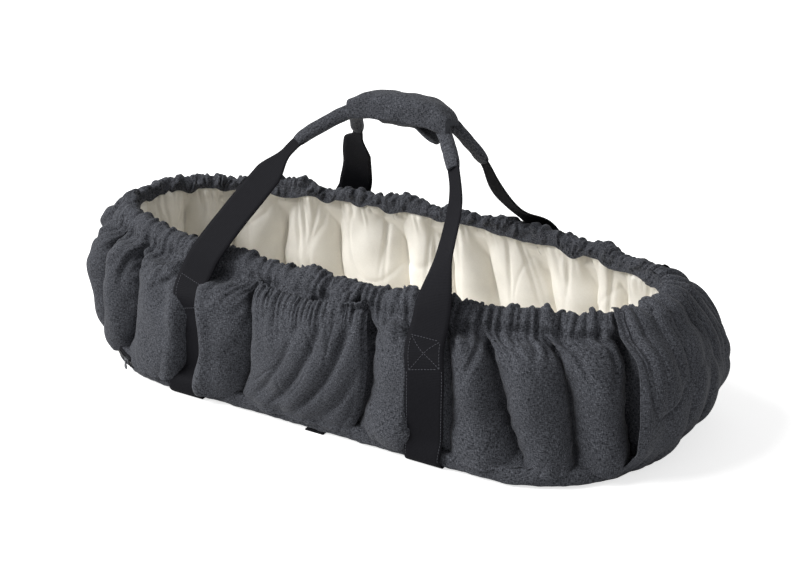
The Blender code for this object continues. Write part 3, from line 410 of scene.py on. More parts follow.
def settle(name, start, u, v, held, pressure, bending, wrap=False, frames=20, cap=0.014,
           stiffness=15.0):
    """Let a cloth come to rest from a start grid, under pressure from behind. u and v are the
    cut's lengths, laid out flat or, where it closes, on a cylinder; held is the share by which each
    point is pinned, and no point moves further than cap."""
    rows, columns = start.shape[:2]
    if wrap:
        around = u[:, -1:]
        turn = 2 * math.pi * u[:, :-1] / around
        radius = around / (2 * math.pi)
        cut = np.stack([np.broadcast_to(radius, turn.shape) * np.cos(turn),
                        np.broadcast_to(radius, turn.shape) * np.sin(turn), v], -1)
    else:
        cut = np.stack([u[:, :columns], np.zeros_like(v), v], -1)
    piece = grid_piece(name, start, wrap=wrap)
    piece.shape_key_add(name="start")
    key = piece.shape_key_add(name="cut")
    key.data.foreach_set("co", cut.reshape(-1).astype(np.float32))
    group = piece.vertex_groups.new(name="held")
    flat = held.reshape(-1)
    for level in np.unique(flat[flat > 0]):
        group.add(np.where(flat == level)[0].tolist(), float(level), "REPLACE")
    cloth = piece.modifiers.new("cloth", "CLOTH")
    rules = cloth.settings
    rules.quality = 6
    rules.mass = 0.3
    rules.rest_shape_key = key
    rules.vertex_group_mass = "held"
    rules.tension_stiffness = rules.compression_stiffness = stiffness
    rules.shear_stiffness = stiffness / 3
    rules.bending_stiffness = bending
    rules.use_pressure = True
    rules.uniform_pressure_force = pressure
    rules.effector_weights.gravity = 0.0
    cloth.collision_settings.use_collision = False
    cloth.point_cache.frame_end = frames
    for number in range(1, frames + 1):
        bpy.context.scene.frame_set(number)
    result = piece.evaluated_get(bpy.context.evaluated_depsgraph_get()).to_mesh()
    moved = np.empty(rows * columns * 3, np.float32)
    result.vertices.foreach_get("co", moved)
    mesh = piece.data
    bpy.data.objects.remove(piece)
    bpy.data.meshes.remove(mesh)
    bpy.context.scene.frame_set(1)
    move = moved.reshape(rows, columns, 3).astype(float) - start
    far = np.linalg.norm(move, axis=-1, keepdims=True)
    return start + move * np.minimum(1, cap / np.maximum(far, 1e-9))


def linear(code):
    """A hex colour as linear red, green, blue and alpha."""
    values = [int(code[i:i + 2], 16) / 255 for i in (1, 3, 5)]
    return tuple(v / 12.92 if v <= 0.04045 else ((v + 0.055) / 1.055) ** 2.4 for v in values) + (1,)


def add(tree, kind, inputs=None, **settings):
    """Add a node: settings are its properties, inputs are values or the outputs to link."""
    node = tree.nodes.new("ShaderNode" + kind)
    for key, value in settings.items():
        setattr(node, key, value)
    for key, value in (inputs or {}).items():
        if isinstance(value, bpy.types.NodeSocket):
            tree.links.new(value, node.inputs[key])
        else:
            node.inputs[key].default_value = value
    return node


def ramp(tree, value, stops):
    """A colour ramp: stops are (position, colour)."""
    node = add(tree, "ValToRGB", {0: value})
    while len(node.color_ramp.elements) < len(stops):
        node.color_ramp.elements.new(0.5)
    for element, (position, colour) in zip(node.color_ramp.elements, stops):
        element.position = position
        element.color = colour
    return node.outputs[0]


def new_material(name):
    """A material with its node tree and its shader."""
    material = bpy.data.materials.new(name)
    material.use_nodes = True
    return material, material.node_tree, material.node_tree.nodes["Principled BSDF"]


def grey(level):
    """A linear grey."""
    return (level, level, level, 1)


def woven(name, dark, light, fleck, thread, roughness=0.9, bump=0.3, sheen=0.2, flecks=0.4):
    """Plain woven cloth: warp and weft threads of uneven tone, each drawn out along its own
    direction, with a few pale flecks and a slow change of tone over the cloth."""
    material, tree, shader = new_material(name)
    coordinates = add(tree, "TexCoord").outputs["UV"]
    threads = []
    for scale in ((1.0, 0.25, 1.0), (0.25, 1.0, 1.0)):
        drawn = add(tree, "Mapping", {"Vector": coordinates, "Scale": scale}).outputs[0]
        threads.append(add(tree, "TexNoise", {"Vector": drawn, "Scale": 1 / thread, "Detail": 1.5,
                                              "Roughness": 0.6}).outputs[0])
    weave = add(tree, "Math", {0: threads[0], 1: threads[1]}, operation="ADD").outputs[0]
    weave = add(tree, "Math", {0: weave, 1: 0.5}, operation="MULTIPLY").outputs[0]
    colour = ramp(tree, weave, [(0.38, linear(dark)), (0.62, linear(light))])
    spots = add(tree, "TexNoise", {"Vector": coordinates, "Scale": 0.7 / thread, "Detail": 2.0,
                                   "W": 3.0}, noise_dimensions="4D").outputs[0]
    spotted = ramp(tree, spots, [(0.60, grey(0)), (0.74, grey(flecks))])
    colour = add(tree, "Mix", {"Factor": spotted, 6: colour, 7: linear(fleck)},
                 data_type="RGBA").outputs[2]
    slow = add(tree, "TexNoise", {"Vector": coordinates, "Scale": 16.0, "Detail": 3.0}).outputs[0]
    tone = ramp(tree, slow, [(0.3, grey(0.90)), (0.7, grey(1.08))])
    colour = add(tree, "Mix", {"Factor": 1.0, 6: colour, 7: tone}, data_type="RGBA",
                 blend_type="MULTIPLY").outputs[2]
    tree.links.new(colour, shader.inputs["Base Color"])
    bumped = add(tree, "Bump", {"Strength": bump, "Distance": thread * 0.4, "Height": weave})
    tree.links.new(bumped.outputs[0], shader.inputs["Normal"])
    shader.inputs["Roughness"].default_value = roughness
    shader.inputs["Sheen Weight"].default_value = sheen
    shader.inputs["Sheen Roughness"].default_value = 0.4
    shader.inputs["Specular IOR Level"].default_value = 0.15
    return material


def finish_piece(piece, material, body, levels=0):
    """Give a piece its material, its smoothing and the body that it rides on."""
    piece.data.materials.append(material)
    if levels:
        rounding = piece.modifiers.new("rounding", "SUBSURF")
        rounding.levels = rounding.render_levels = levels
    if body:
        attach(piece, body)


def strap_places(name, angles):
    """Places of a strap's middle line at each angle."""
    side, distances = STRAPS[name][:2]
    middle = 0.75 if side < 0 else 0.25
    return edge_places(middle - side * np.array(distances) / BELLY_RUN, angles)


def distance_from(places, middle, angles):
    """Distance across a strap or panel, in metres, of places from a middle line."""
    gap = np.mod(places - middle[:, None] + 0.5, 1.0) - 0.5
    drawn = 1 - np.abs(np.cos(angles)) ** ROUNDNESS
    runs = np.where(angles < 0, run_length(BASE), run_length(RIM))
    return gap * (BELLY_RUN * (1 - drawn) + runs * drawn)[:, None]


def refine(points, wrap=False):
    """Twice the rows and columns of a grid, each new point on a cubic through its neighbours."""
    def between(a, b, c, d):
        return (9 * (b + c) - a - d) / 16

    def double(grid, closed):
        if closed:
            middle = between(np.roll(grid, 1, 0), grid, np.roll(grid, -1, 0), np.roll(grid, -2, 0))
            return np.stack([grid, middle], 1).reshape((-1,) + grid.shape[1:])
        long = np.concatenate([2 * grid[:1] - grid[1:2], grid, 2 * grid[-1:] - grid[-2:-1]])
        middle = between(long[:-3], long[1:-2], long[2:-1], long[3:])
        pairs = np.stack([grid[:-1], middle], 1).reshape((-1,) + grid.shape[1:])
        return np.concatenate([pairs, grid[-1:]])

    points = double(points, False)
    return double(points.swapaxes(0, 1), wrap).swapaxes(0, 1)


def field(across, up, size, seed, stretch=1.0, waves=16):
    """Smooth random swelling, about -1 to 1: a sum of waves of one size in all directions.
    across runs from 0 to 1 round the nest, up is in metres, stretch draws it out upwards."""
    draw = np.random.default_rng(seed)
    total = 0.0
    for _ in range(waves):
        turn, phase = draw.uniform(0, math.pi), draw.uniform(0, 2 * math.pi)
        round_nest = round(BELLY_RUN / size * math.cos(turn) * draw.uniform(0.6, 1.4))
        total = total + np.cos(2 * math.pi * (round_nest * across
                                              + math.sin(turn) / size / stretch * up) + phase)
    return total / math.sqrt(waves)


def gathers(places, level, spacing, seed, shortest=0.25, longest=0.9, sharp=0.75):
    """Folds that start at a gathered edge, where level is 1, and run out at random distances
    from it, from shortest to longest; 0 in a valley, up to 1 on a ridge."""
    draw = np.random.default_rng(seed)
    widths = draw.uniform(0.5, 1.7, int(BELLY_RUN / spacing))
    stops = np.concatenate([[0], np.cumsum(widths) / widths.sum()])
    places = np.mod(places, 1.0)
    index = np.clip(np.searchsorted(stops, places, side="right") - 1, 0, len(widths) - 1)
    share = (places - stops[index]) / (stops[index + 1] - stops[index])
    tall = draw.uniform(0.4, 1.0, len(widths))[index]
    reach = draw.uniform(shortest, longest, len(widths))[index]
    grow = smooth((level - 1 + reach) / reach)
    return np.abs(np.sin(math.pi * share)) ** sharp * tall * grow


def creases(across, up, size, seed, stretch=1.0, width=0.28):
    """Wandering sharp valleys, 1 in each and 0 away from it, where a smooth swelling field
    crosses zero."""
    wave = field(across, up, size, seed, stretch)
    return np.clip(1 - np.abs(wave) / width, 0, 1) ** 1.5


def tucks(seams, places, level, seed, deep):
    """Sharp folds that run down from the rim's seam, four to each channel's seam: narrow valleys,
    each a normal curve across, that start beside it, lean away from it and run out. Returns their
    depth in metres; deep is the least and greatest depth of one."""
    half_width, deepest, wall_run = 0.0034, 0.0095, 0.072
    draw = np.random.default_rng(seed)
    down = (1 - level) * wall_run
    total = 0.0
    for seam in seam_places(seams)[:-1, 0]:
        for _ in range(4):
            offset, lean = draw.uniform(-0.024, 0.024), draw.uniform(0.1, 0.7)
            length, depth = draw.uniform(0.026, 0.078), draw.uniform(*deep)
            lean = math.copysign(lean, offset)
            gap = (np.mod(places - seam + 0.5, 1.0) - 0.5) * BELLY_RUN - offset - lean * down
            total = total + depth * np.exp(-(gap / half_width) ** 2) * smooth(1 - down / length)
    return np.minimum(total, deepest)


def shift(points, amount, wrap=False):
    """Move a grid's points along its normals."""
    return points + surface_normals(points, wrap) * amount[..., None]


def keep_beside_rim(points, places, side, heights, least):
    """Move a grid's points along the rim's normals to one side of its middle line, 1 outwards
    and -1 inwards: their distance to that side is at least a value that goes evenly from the
    first of least at the first height to the second at the second one."""
    middle, normal = plan_at(RIM, places), plan_normal(RIM, places)
    out = ((points[..., :2] - middle) * normal).sum(-1) * side
    short = np.maximum(np.interp(points[..., 2], heights, least) - out, 0)
    points = points.copy()
    points[..., :2] += (short * side)[..., None] * normal
    return points


def cut_lengths(start, widest, low_angles, ease_low, ease_up):
    """Lengths of the cut: every row is as wide as the widest one, less towards the base."""
    u_step = np.linalg.norm(np.roll(start, -1, 1) - start, axis=-1)
    rest = u_step[widest] * 1.02
    low = smooth(-np.sin(low_angles)[:, None] / 0.9)
    cut = np.maximum(rest * (1 - low) + np.minimum(u_step * ease_low, rest) * low, u_step)
    u = np.concatenate([np.zeros((len(start), 1)), np.cumsum(cut, 1)], 1)
    v_step = (np.linalg.norm(np.diff(start, axis=0), axis=-1) * ease_up).mean(1)
    v = np.concatenate([[0], np.cumsum(v_step)])
    return u, np.broadcast_to(v[:, None], start.shape[:2])


def fine_lengths(u, v):
    """The cut's lengths on the refined grid, which has one column more than its points."""
    rows, columns = 2 * len(v) - 1, 2 * u.shape[1] - 1
    middle = u[len(u) // 2]
    fine_u = np.interp(np.arange(columns) / 2, np.arange(len(middle)), middle)
    fine_v = np.interp(np.arange(rows) / 2, np.arange(len(v)), v[:, 0])
    return cloth_uv(fine_u, fine_v[:, None], (rows, columns))


def flat_cut(u_step, v_step):
    """Lengths of a rectangular cut, from its steps across and up."""
    u, v = [np.concatenate([[0], np.cumsum(steps)]) for steps in (u_step, v_step)]
    return cloth_uv(u, v[:, None], (len(v), len(u)))


def pocket_span(side):
    """Places of a pocket's two side edges, at the rim, belly and base."""
    edges = np.array([OUTER_SEAMS[4], OUTER_SEAMS[6]]) / BELLY_RUN
    return 0.75 + edges if side < 0 else 0.25 - edges


def behind_pocket(side, places, angles):
    """1 inside a pocket's span, 0 outside it, with a short slope at its edges."""
    first, last = np.sort([edge_places(span, angles) for span in pocket_span(side)], 0)[..., None]
    return smooth((places - first) / 0.004) * smooth((last - places) / 0.004)


def inflate_outer_wall():
    """The stuffed channels on a grid that follows their seams: deep at each seam and crowned
    between two by a power of a sine, sunk under the straps and pressed flat behind the pockets;
    then inflated as cloth whose cut is wider than the rim. Returns its places and shares, its
    points and the cut's lengths."""
    angles = np.radians(np.linspace(-90, 90, 47))
    places, shares = seam_grid(OUTER_SEAMS, angles)
    level = np.sin(angles)[:, None]
    belly = np.abs(np.cos(angles))[:, None]
    depth = SEAM_DEPTH_ENDS + (OUTER_SEAM_DEPTH - SEAM_DEPTH_ENDS) * belly ** 0.7
    lobe = 1 - np.abs(np.sin(math.pi * shares)) ** LOBE_ROUNDNESS
    folds = gathers(places, level, 0.024, SEED, 0.3, 0.8)
    high = smooth((level - 0.2) / 0.8)
    proud = -depth * lobe + 0.0050 * folds + 0.0010 * high
    held = np.zeros(places.shape)
    held[:, shares == 0] = 1
    held[[0, -1], :] = 1
    # A strap holds the cloth down, and beside a deep one the channels close in over its edges
    for name in STRAPS:
        across = np.abs(distance_from(places, strap_places(name, angles), angles))
        inside = across < STRAPS[name][3]
        closing = np.exp(-((across - 0.024) / 0.011) ** 2) * (STRAP_SINK[name] > 0.005)
        proud = proud + 0.011 * closing * np.where(level < 0, 1.0, belly ** 0.5)
        proud = np.where(inside, -STRAP_SINK[name] - 0.005, proud)
        held[inside] = 1
    # Behind a pocket the channels are pressed flat
    for side in (-1, 1):
        inside = (behind_pocket(side, places, angles) > 0.5) & (level < 0.80)
        proud = np.where(inside, np.minimum(proud, -0.0085), proud)
        held[inside] = 1
    points = wall(places, angles[:, None], proud)
    u, v = cut_lengths(points, len(angles) // 2 - 3, angles, 1.10, 1.04)
    points = settle("wall_cloth", points, u, v, held, wrap=True, pressure=6.0, bending=0.6)
    return places, shares, points, u, v


def run_up_to_casing(points, level, places):
    """From its shoulder each channel runs up to the seam of the rim casing: a cubic from the
    shoulder's slope to a steeper one."""
    first = int(np.argmax(level[:, 0] > 0.80))
    shoulder, slope = points[first], unit(points[first] - points[first - 3])
    goal = beside(RIM, places, *CASING_SECTION[0])
    up = np.concatenate([-0.45 * plan_normal(RIM, places), np.full((len(places), 1), 0.9)], 1)
    gap = np.linalg.norm(goal - shoulder, axis=-1, keepdims=True)
    t = np.linspace(0, 1, len(points) - first)[:, None, None]
    rise = ((2 * t ** 3 - 3 * t ** 2 + 1) * shoulder + (t ** 3 - 2 * t ** 2 + t) * slope * gap
            + (3 * t ** 2 - 2 * t ** 3) * goal + (t ** 3 - t ** 2) * up * gap)
    return np.concatenate([points[:first], rise])


def build_outer_wall(material):
    """The inflated channels with their gathers, tucks, creases and puckers, each drawn along the
    surface's normals. Returns the places and points of their top row, where the casing starts."""
    places, shares, points, u, v = inflate_outer_wall()
    points = refine(points, wrap=True)
    rows, columns = points.shape[:2]
    angles = np.radians(np.linspace(-90, 90, rows))
    level = np.sin(angles)[:, None]
    around = np.concatenate([places, places[:, :1] + 1], 1)
    around = read_line(around.T, np.arange(around.shape[1]), np.arange(columns) / 2).T
    around = read_line(around, np.arange(len(around)), np.arange(rows) / 2)
    height = points[..., 2]
    share = np.stack([shares, np.roll(shares, -1)], 1).reshape(-1)
    near_seam = np.exp(-(np.minimum(share, 1 - share) / 0.16) ** 2)
    near_seam = (near_seam + np.roll(near_seam, 1)) / 2
    top = smooth((level - 0.30) / 0.7)
    wander = around + 0.0015 * field(around, height, 0.09, SEED + 3)
    crown = np.abs(np.sin(math.pi * share)) ** 0.6
    strapped = sum(np.exp(-(distance_from(around, strap_places(name, angles), angles)
                            / (STRAPS[name][3] + 0.0045)) ** 4) for name in STRAPS)
    free = 1 - np.clip(strapped, 0, 1)
    uncovered = 1 - sum(behind_pocket(side, around, angles) for side in (-1, 1))
    in_sight = np.maximum(uncovered, smooth((level - 0.93) / 0.06))
    points = run_up_to_casing(points, level, around[-1])
    height = points[..., 2]
    # Each channel is plump up to the rim
    bulge = smooth((level - 0.35) / 0.4) * (1 - 0.35 * smooth((level - 0.88) / 0.12)) * crown
    bulge = bulge * (1 - smooth((level - 0.90) / 0.10))
    points = shift(points, 0.0045 * bulge * free * in_sight, wrap=True)
    # Gathers below the rim, a notch at each seam and sharp tucks beside it
    detail = 0.0046 * gathers(wander, level, 0.0145, SEED + 4, 0.15, 0.60)
    detail = detail * (0.75 + 0.5 * near_seam)
    notch = np.exp(-(np.minimum(share, 1 - share) / 0.075) ** 2)
    detail = detail - 0.0080 * notch * smooth((level - 0.50) / 0.3) * free
    detail = detail - tucks(OUTER_SEAMS, around, level, SEED + 14, RIM_TUCKS) * free
    # Upright swellings and creases of the stuffing, strongest near the rim
    detail += 0.0024 * field(around, height, 0.045, SEED + 15, stretch=3.0) * (0.3 + 0.7 * top)
    detail -= 0.0020 * creases(around, height, 0.085, SEED + 16, stretch=1.6) * (0.3 + 0.7 * top)
    # Gathers above the base's seam, slow unevenness, and puckers along the seams
    detail += 0.0024 * gathers(wander, -level, 0.020, SEED + 5, 0.15, 0.45)
    detail += 0.0014 * field(around, height, 0.060, SEED + 6)
    detail += 0.0006 * field(around, height, 0.018, SEED + 7) * (0.3 + near_seam + top)
    # Near the rim the lining is close behind, so the valleys run out to a limit there
    limit = 0.0150 - 0.0100 * smooth((level - 0.66) / 0.24)
    detail = np.where(detail < 0, -limit * np.tanh(-detail / limit), detail)
    points = shift(points, detail * in_sight, wrap=True)
    points = keep_beside_rim(points, around[-1], 1, (0.110, 0.136), (-0.060, 0.0025))
    # The channels' lower ends hang over the base cover
    hang = smooth((-level - 0.30) / 0.45) * smooth((1 + level) / 0.04) * crown * free * uncovered
    points[..., 2] -= 0.0105 * hang
    points = shift(points, 0.0045 * hang, wrap=True)
    piece = grid_piece("outer_wall", points, fine_lengths(u, v), wrap=True)
    finish_piece(piece, material, "nest")
    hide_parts("outer_cover", *[f"channel_fill_{i:02d}" for i in range(1, 25)])
    return around[-1], points[-1]


def build_lining(material):
    """Off-white lobes on the inside and the flat floor, in one sheet of cloth: inflated like the
    outer wall, with its top lifted into the rim casing, then gathers, tucks and slow creases."""
    angles = np.radians(np.linspace(90, -90, 43))
    places, shares = seam_grid(LINING_SEAMS, angles)
    level = np.sin(angles)[:, None]
    belly = np.abs(np.cos(angles))[:, None]
    depth = SEAM_DEPTH_ENDS + (LINING_SEAM_DEPTH - SEAM_DEPTH_ENDS) * belly ** 0.7
    lobe = 1 - np.abs(np.sin(math.pi * shares)) ** 0.62
    folds = gathers(places, level, 0.022, SEED + 8, 0.2, 0.6)
    proud = depth * lobe - 0.006 * belly - 0.002 * folds
    start = wall(places, angles[:, None], proud, inner=True)
    held = np.zeros(places.shape)
    held[:, shares == 0] = 1
    held[[0, -1], :] = 1
    u, v = cut_lengths(start, len(angles) // 2, angles, 1.08, 1.03)
    start = settle("lining_cloth", start, u, v, held, wrap=True, pressure=5.0, bending=0.4)
    points = refine(start, wrap=True)
    columns = points.shape[1]
    around = np.interp(np.arange(columns) / 2, np.arange(len(shares)), places[len(angles) // 2])
    # Its top is lifted into the rim casing, and height goes up with it
    height = points[..., 2]
    points[..., 2] += 0.0115 * smooth((height - 0.080) / (WALL_TOP - 0.080))
    level = (height - WALL_BOTTOM) / (LINING_TOP - WALL_BOTTOM)
    near_top = smooth((1.04 - level) / 0.10)
    detail = 0.0052 * gathers(around, level, 0.013, SEED + 9, 0.12, 0.38) * near_top
    deep = np.minimum(tucks(LINING_SEAMS, around, level, SEED + 17, (0.0020, 0.0050)), 0.0036)
    detail = detail - deep * near_top
    detail = detail - 0.0012 * creases(around, height, 0.10, SEED + 18, stretch=1.4)
    detail = detail + 0.0008 * field(around, height, 0.05, SEED + 10)
    points = shift(points, detail, wrap=True)
    top_places = np.interp(np.arange(columns) / 2, np.arange(len(shares)), places[0])
    points = keep_beside_rim(points, top_places, -1, (0.095, 0.148), (-0.026, 0.0025))
    u, v = fine_lengths(u, v)
    edge = points[-1]
    centre_line = np.stack([edge[:, 0] * 0.6, np.zeros(columns), np.zeros(columns)], -1)
    # Rings from the wall's foot to the floor's middle line
    rows, lengths = [points], [v[:, 0]]
    for share in (0.02, 0.1, 0.3, 0.6, 0.9, 1.0):
        ring = edge + (centre_line - edge) * share
        ring[:, 2] = LINING_FLOOR + 0.0004 * field(around, share * 0.1, 0.05, SEED + 11)
        rows.append(ring[None])
        lengths.append([v[-1, 0] + share * 0.12])
    points, lengths = np.concatenate(rows), np.concatenate(lengths)
    shape = (len(lengths), columns + 1)
    piece = grid_piece("lining_cloth", points, cloth_uv(u[:1], lengths[:, None], shape), wrap=True)
    finish_piece(piece, material, "nest")
    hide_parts("inner_lining")


def build_rim_casing(material, thread, wall_top):
    """Gathered tunnel of cloth round the opening. Its outer side starts on the wall's top row
    and carries on its gathers up to the stitch line; above it the tunnel is finely gathered, its
    inner side is crumpled, and both edges wave."""
    section = np.array(CASING_SECTION)
    section = read_line(section, np.linspace(0, 1, len(section)), np.linspace(0, 1, 30))
    columns = 1200
    around = np.arange(columns) / columns
    middle, normal = plan_at(RIM, around), plan_normal(RIM, around)
    share = np.linspace(0, 1, len(section))[:, None]
    start = np.stack([np.interp(around, wall_top[0], wall_top[1][:, k], period=1)
                      for k in range(3)], -1)
    wander = 0.0015 * field(around, 0.156 + share * 0.05, 0.09, SEED + 3)
    swirl = around + wander + 0.0018 * field(around, share * 0.06, 0.020, SEED + 26)
    inside = smooth((share - 0.42) / 0.2)
    uneven = 0.80 + 0.50 * np.clip(field(around, share * 0.06, 0.026, SEED + 27), -1, 1)
    above = smooth((share - STITCH_SHARE + 0.04) / 0.10)
    # The front's head half is pulled smooth, the rest of the outer side is ruffled
    lively = 0.30 + 0.70 * np.maximum(smooth((middle[:, 0] + 0.05) / 0.10),
                                      smooth(middle[:, 1] / 0.05))
    outer = ((0.0044 * gathers(around + wander, 1.0, 0.0145, SEED + 4, 1, 1)
              - tucks(OUTER_SEAMS, around, 1.0, SEED + 14, RIM_TUCKS) * 0.5) * smooth(share / 0.2)
             + 0.0014 * gathers(swirl, 1.0, 0.0080, SEED + 29, 1, 1) * above) * lively
    # The stitch line pulls a groove, and the inner side is crumpled by two sizes of gathers
    outer = outer - 0.0012 * np.exp(-((share - STITCH_SHARE) / 0.03) ** 2)
    inner = uneven * (0.0048 * gathers(swirl, 1.0, 0.0120, SEED + 21, 1, 1, sharp=0.9)
                      + 0.0022 * gathers(swirl, 1.0, 0.0065, SEED + 22, 1, 1)
                      * smooth((share - 0.5) / 0.2))
    swell = (outer - 0.0018 * above) * (1 - inside) + (inner - 0.0022) * inside
    swell = swell * (1 - 0.8 * smooth((share - 0.86) / 0.12))
    # Its top edge and its lower inner edge wave up and down
    lift = 0.0034 * field(around, 0, 0.075, SEED + 23) + 0.0016 * field(around, 0, 0.028, SEED + 24)
    lift = lift + 0.0034 * (gathers(around + wander, 1.0, 0.0135, SEED + 34, 1, 1, sharp=0.6) - 0.5)
    high = smooth((section[:, 1:] - 0.160) / 0.018)
    dip = -0.0045 * np.clip(field(around, 0, 0.06, SEED + 25), -0.4, 2)
    dip = dip * smooth((share - 0.70) / 0.2)
    plan = middle + normal * (section[:, :1] + np.zeros(columns))[..., None]
    points = np.concatenate([plan, (section[:, 1:] + lift * high + dip)[..., None]], -1)
    joined = (1 - smooth(share / 0.35))[..., None]
    points = points + (start - points[0]) * joined
    points = shift(points, swell, wrap=True)
    uv = cloth_uv(np.arange(columns + 1) / columns * BELLY_RUN, run_along(section)[:, None],
                  (len(section), columns + 1))
    piece = grid_piece("rim_casing_cloth", points, uv, wrap=True)
    finish_piece(piece, material, "nest")
    row = int(STITCH_SHARE * len(section))
    normal = surface_normals(points, wrap=True)[row]
    line = np.concatenate([points[row], points[row][:1]])
    put_stitches("casing_topstitch", [(line, np.concatenate([normal, normal[:1]]))], thread,
                 "nest")
    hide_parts("rim_casing", "rim_elastic")


def build_base(material):
    """The base cover: a low tray with small wrinkles along its band and a flat underside."""
    columns = 640
    around = np.arange(columns) / columns
    rows = [beside(BASE, around, out, height) for out, height in BASE_SECTION]
    # Rings of the underside, drawn in to its middle line
    for share in (0.15, 0.4, 0.7, 1.0):
        rows.append(rows[len(BASE_SECTION) - 1] * [1 - 0.4 * share, 1 - share, 1])
    points = np.array(rows)
    # Share of the wrinkles in each row: none on the seam and the underside
    band = np.zeros((len(rows), 1))
    band[2:8, 0] = (0.4, 1.0, 1.0, 1.0, 0.7, 0.3)
    wrinkle = 0.0008 * field(around, points[..., 2], 0.035, SEED + 30, stretch=0.5)
    wrinkle = wrinkle + 0.0005 * field(around, points[..., 2], 0.012, SEED + 31)
    points = shift(points, wrinkle * band, wrap=True)
    uv = cloth_uv(np.arange(columns + 1) / columns * run_length(BASE),
                  run_along(points[:, 0])[:, None], (len(rows), columns + 1))
    piece = grid_piece("base_cover_cloth", points, uv, wrap=True)
    finish_piece(piece, material, "nest")
    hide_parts("base_cover", "base_padding")


def build_mattress(material):
    """Loose mattress: a flat pad with a half round edge, quilted in diamonds by a dip where the
    lesser of two crossed sine waves is near 0."""
    columns = 300
    outline = oblong(*MATTRESS_SIZE)
    around = np.arange(columns) / columns
    rows = [beside(outline, around, -0.010 * (1 - math.cos(turn)),
                   MATTRESS_HEIGHT + MATTRESS_HALF * math.sin(turn))
            for turn in np.radians(np.linspace(-90, 90, 9))]
    shares = (0.08, 0.2, 0.35, 0.5, 0.65, 0.8, 0.92, 1.0)

    def inwards(ring, share):
        ring = ring.copy()
        ring[:, 0] = NEST_X + (ring[:, 0] - NEST_X) * (1 - 0.45 * share)
        ring[:, 1] *= 1 - share
        return ring

    under = [inwards(rows[0], share) for share in shares[::-1]]
    points = np.array(under + rows + [inwards(rows[-1], share) for share in shares])
    x, y, z = points[..., 0], points[..., 1], points[..., 2]
    quilt = np.minimum(np.abs(np.sin((x + y) / QUILT * math.pi)),
                       np.abs(np.sin((x - y) / QUILT * math.pi)))
    on_top = z > MATTRESS_HEIGHT + 0.9 * MATTRESS_HALF
    points[..., 2] -= 0.0022 * (1 - np.clip(quilt * 3.0, 0, 1)) * on_top
    uv = cloth_uv(np.arange(columns + 1) / columns * run_length(outline),
                  run_along(points[:, 0])[:, None], (len(points), columns + 1))
    piece = grid_piece("mattress_pad", points, uv, wrap=True)
    finish_piece(piece, material, "loose_mattress")
    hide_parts("mattress")


def route_points(hinge_y, head_x, foot_x):
    """Points of a handle's middle line, from its head hinge over the grip to its foot hinge. Each
    leg's points are x, and the shares of the way up and inwards to the grip."""
    side = -SLEEVE_SPACING / 2
    rise, drop = GRIP_HEIGHT - HINGE_HEIGHT, side - hinge_y
    legs = [(head_x, 0.0, 0.0), (head_x + 0.003, 0.11, 0.03), (head_x + 0.020, 0.29, 0.17),
            (head_x + 0.044, 0.53, 0.43), (-0.089, 0.765, 0.69), (-0.067, 0.862, 0.84),
            (-0.045, 0.934, 0.96), (0.095, 0.934, 0.96), (0.1106, 0.865, 0.84),
            (0.121, 0.765, 0.69), (foot_x - 0.014, 0.53, 0.43), (foot_x - 0.004, 0.29, 0.17),
            (foot_x, 0.11, 0.03), (foot_x, 0.0, 0.0)]
    legs = [(x, hinge_y + drop * inwards, HINGE_HEIGHT + rise * up) for x, up, inwards in legs]
    over = [(-0.019, side, 0.341), (0.005, side, 0.344), (0.050, side, 0.344), (0.073, side, 0.341)]
    return np.array(legs[:7] + over + legs[7:])


def smooth_route(points, steps):
    """A curve through the points, each stretch a cubic of its four neighbours, read evenly."""
    padded = np.concatenate([[2 * points[0] - points[1]], points, [2 * points[-1] - points[-2]]])
    t = np.linspace(0, 1, 40, endpoint=False)[:, None]
    dense = []
    for i in range(len(points) - 1):
        a, b, c, d = padded[i:i + 4]
        dense.append(0.5 * (2 * b + (c - a) * t + (2 * a - 5 * b + 4 * c - d) * t ** 2
                            + (3 * b - a - 3 * c + d) * t ** 3))
    return even_steps(np.concatenate(dense + [points[-1:]]), steps)


def route_frames(route):
    """Width and face directions along a handle that hangs in its own leaning plane."""
    tangent = unit(np.gradient(route, axis=0))
    begin = smooth((route[:, 2] - HINGE_HEIGHT) / 0.030)
    slope = 0.89 * begin * np.clip((GRIP_HEIGHT - route[:, 2]) / 0.045, 0, 1)
    face = np.stack([np.zeros(len(route)), -np.ones(len(route)), slope], axis=1)
    wide = unit(np.cross(tangent, face))
    return wide, np.cross(wide, tangent)


def handle(side, hanging=True):
    """Route, width and face directions of the front (-1) or back (+1) handle. hanging gives the
    ends their own hang, which the padded grip doesn't follow."""
    label = "front" if side < 0 else "back"
    head_x, foot_x = STRAPS[label + "_head"][2], STRAPS[label + "_foot"][2]
    route = smooth_route(route_points(-HINGE_Y[label], head_x, foot_x), HANDLE_STEPS)
    for end in ("head", "foot"):
        if hanging and f"{label}_{end}" in HANGING:
            reach, x, height = np.array(HANGING[f"{label}_{end}"]).T
            own = (np.arange(len(route)) > HANDLE_STEPS // 2) == (end == "foot")
            own &= np.abs(route[:, 1]) > reach[0]
            route[own, 0] = np.interp(-route[own, 1], reach, x)
            route[own, 2] = np.interp(-route[own, 1], reach, height)
    if hanging:
        for _ in range(12):
            route[1:-1] = (route[:-2] + 2 * route[1:-1] + route[2:]) / 4
    wide, face = route_frames(route)
    mirror = np.array([1, -side, 1])
    return route * mirror, wide * mirror, face * mirror


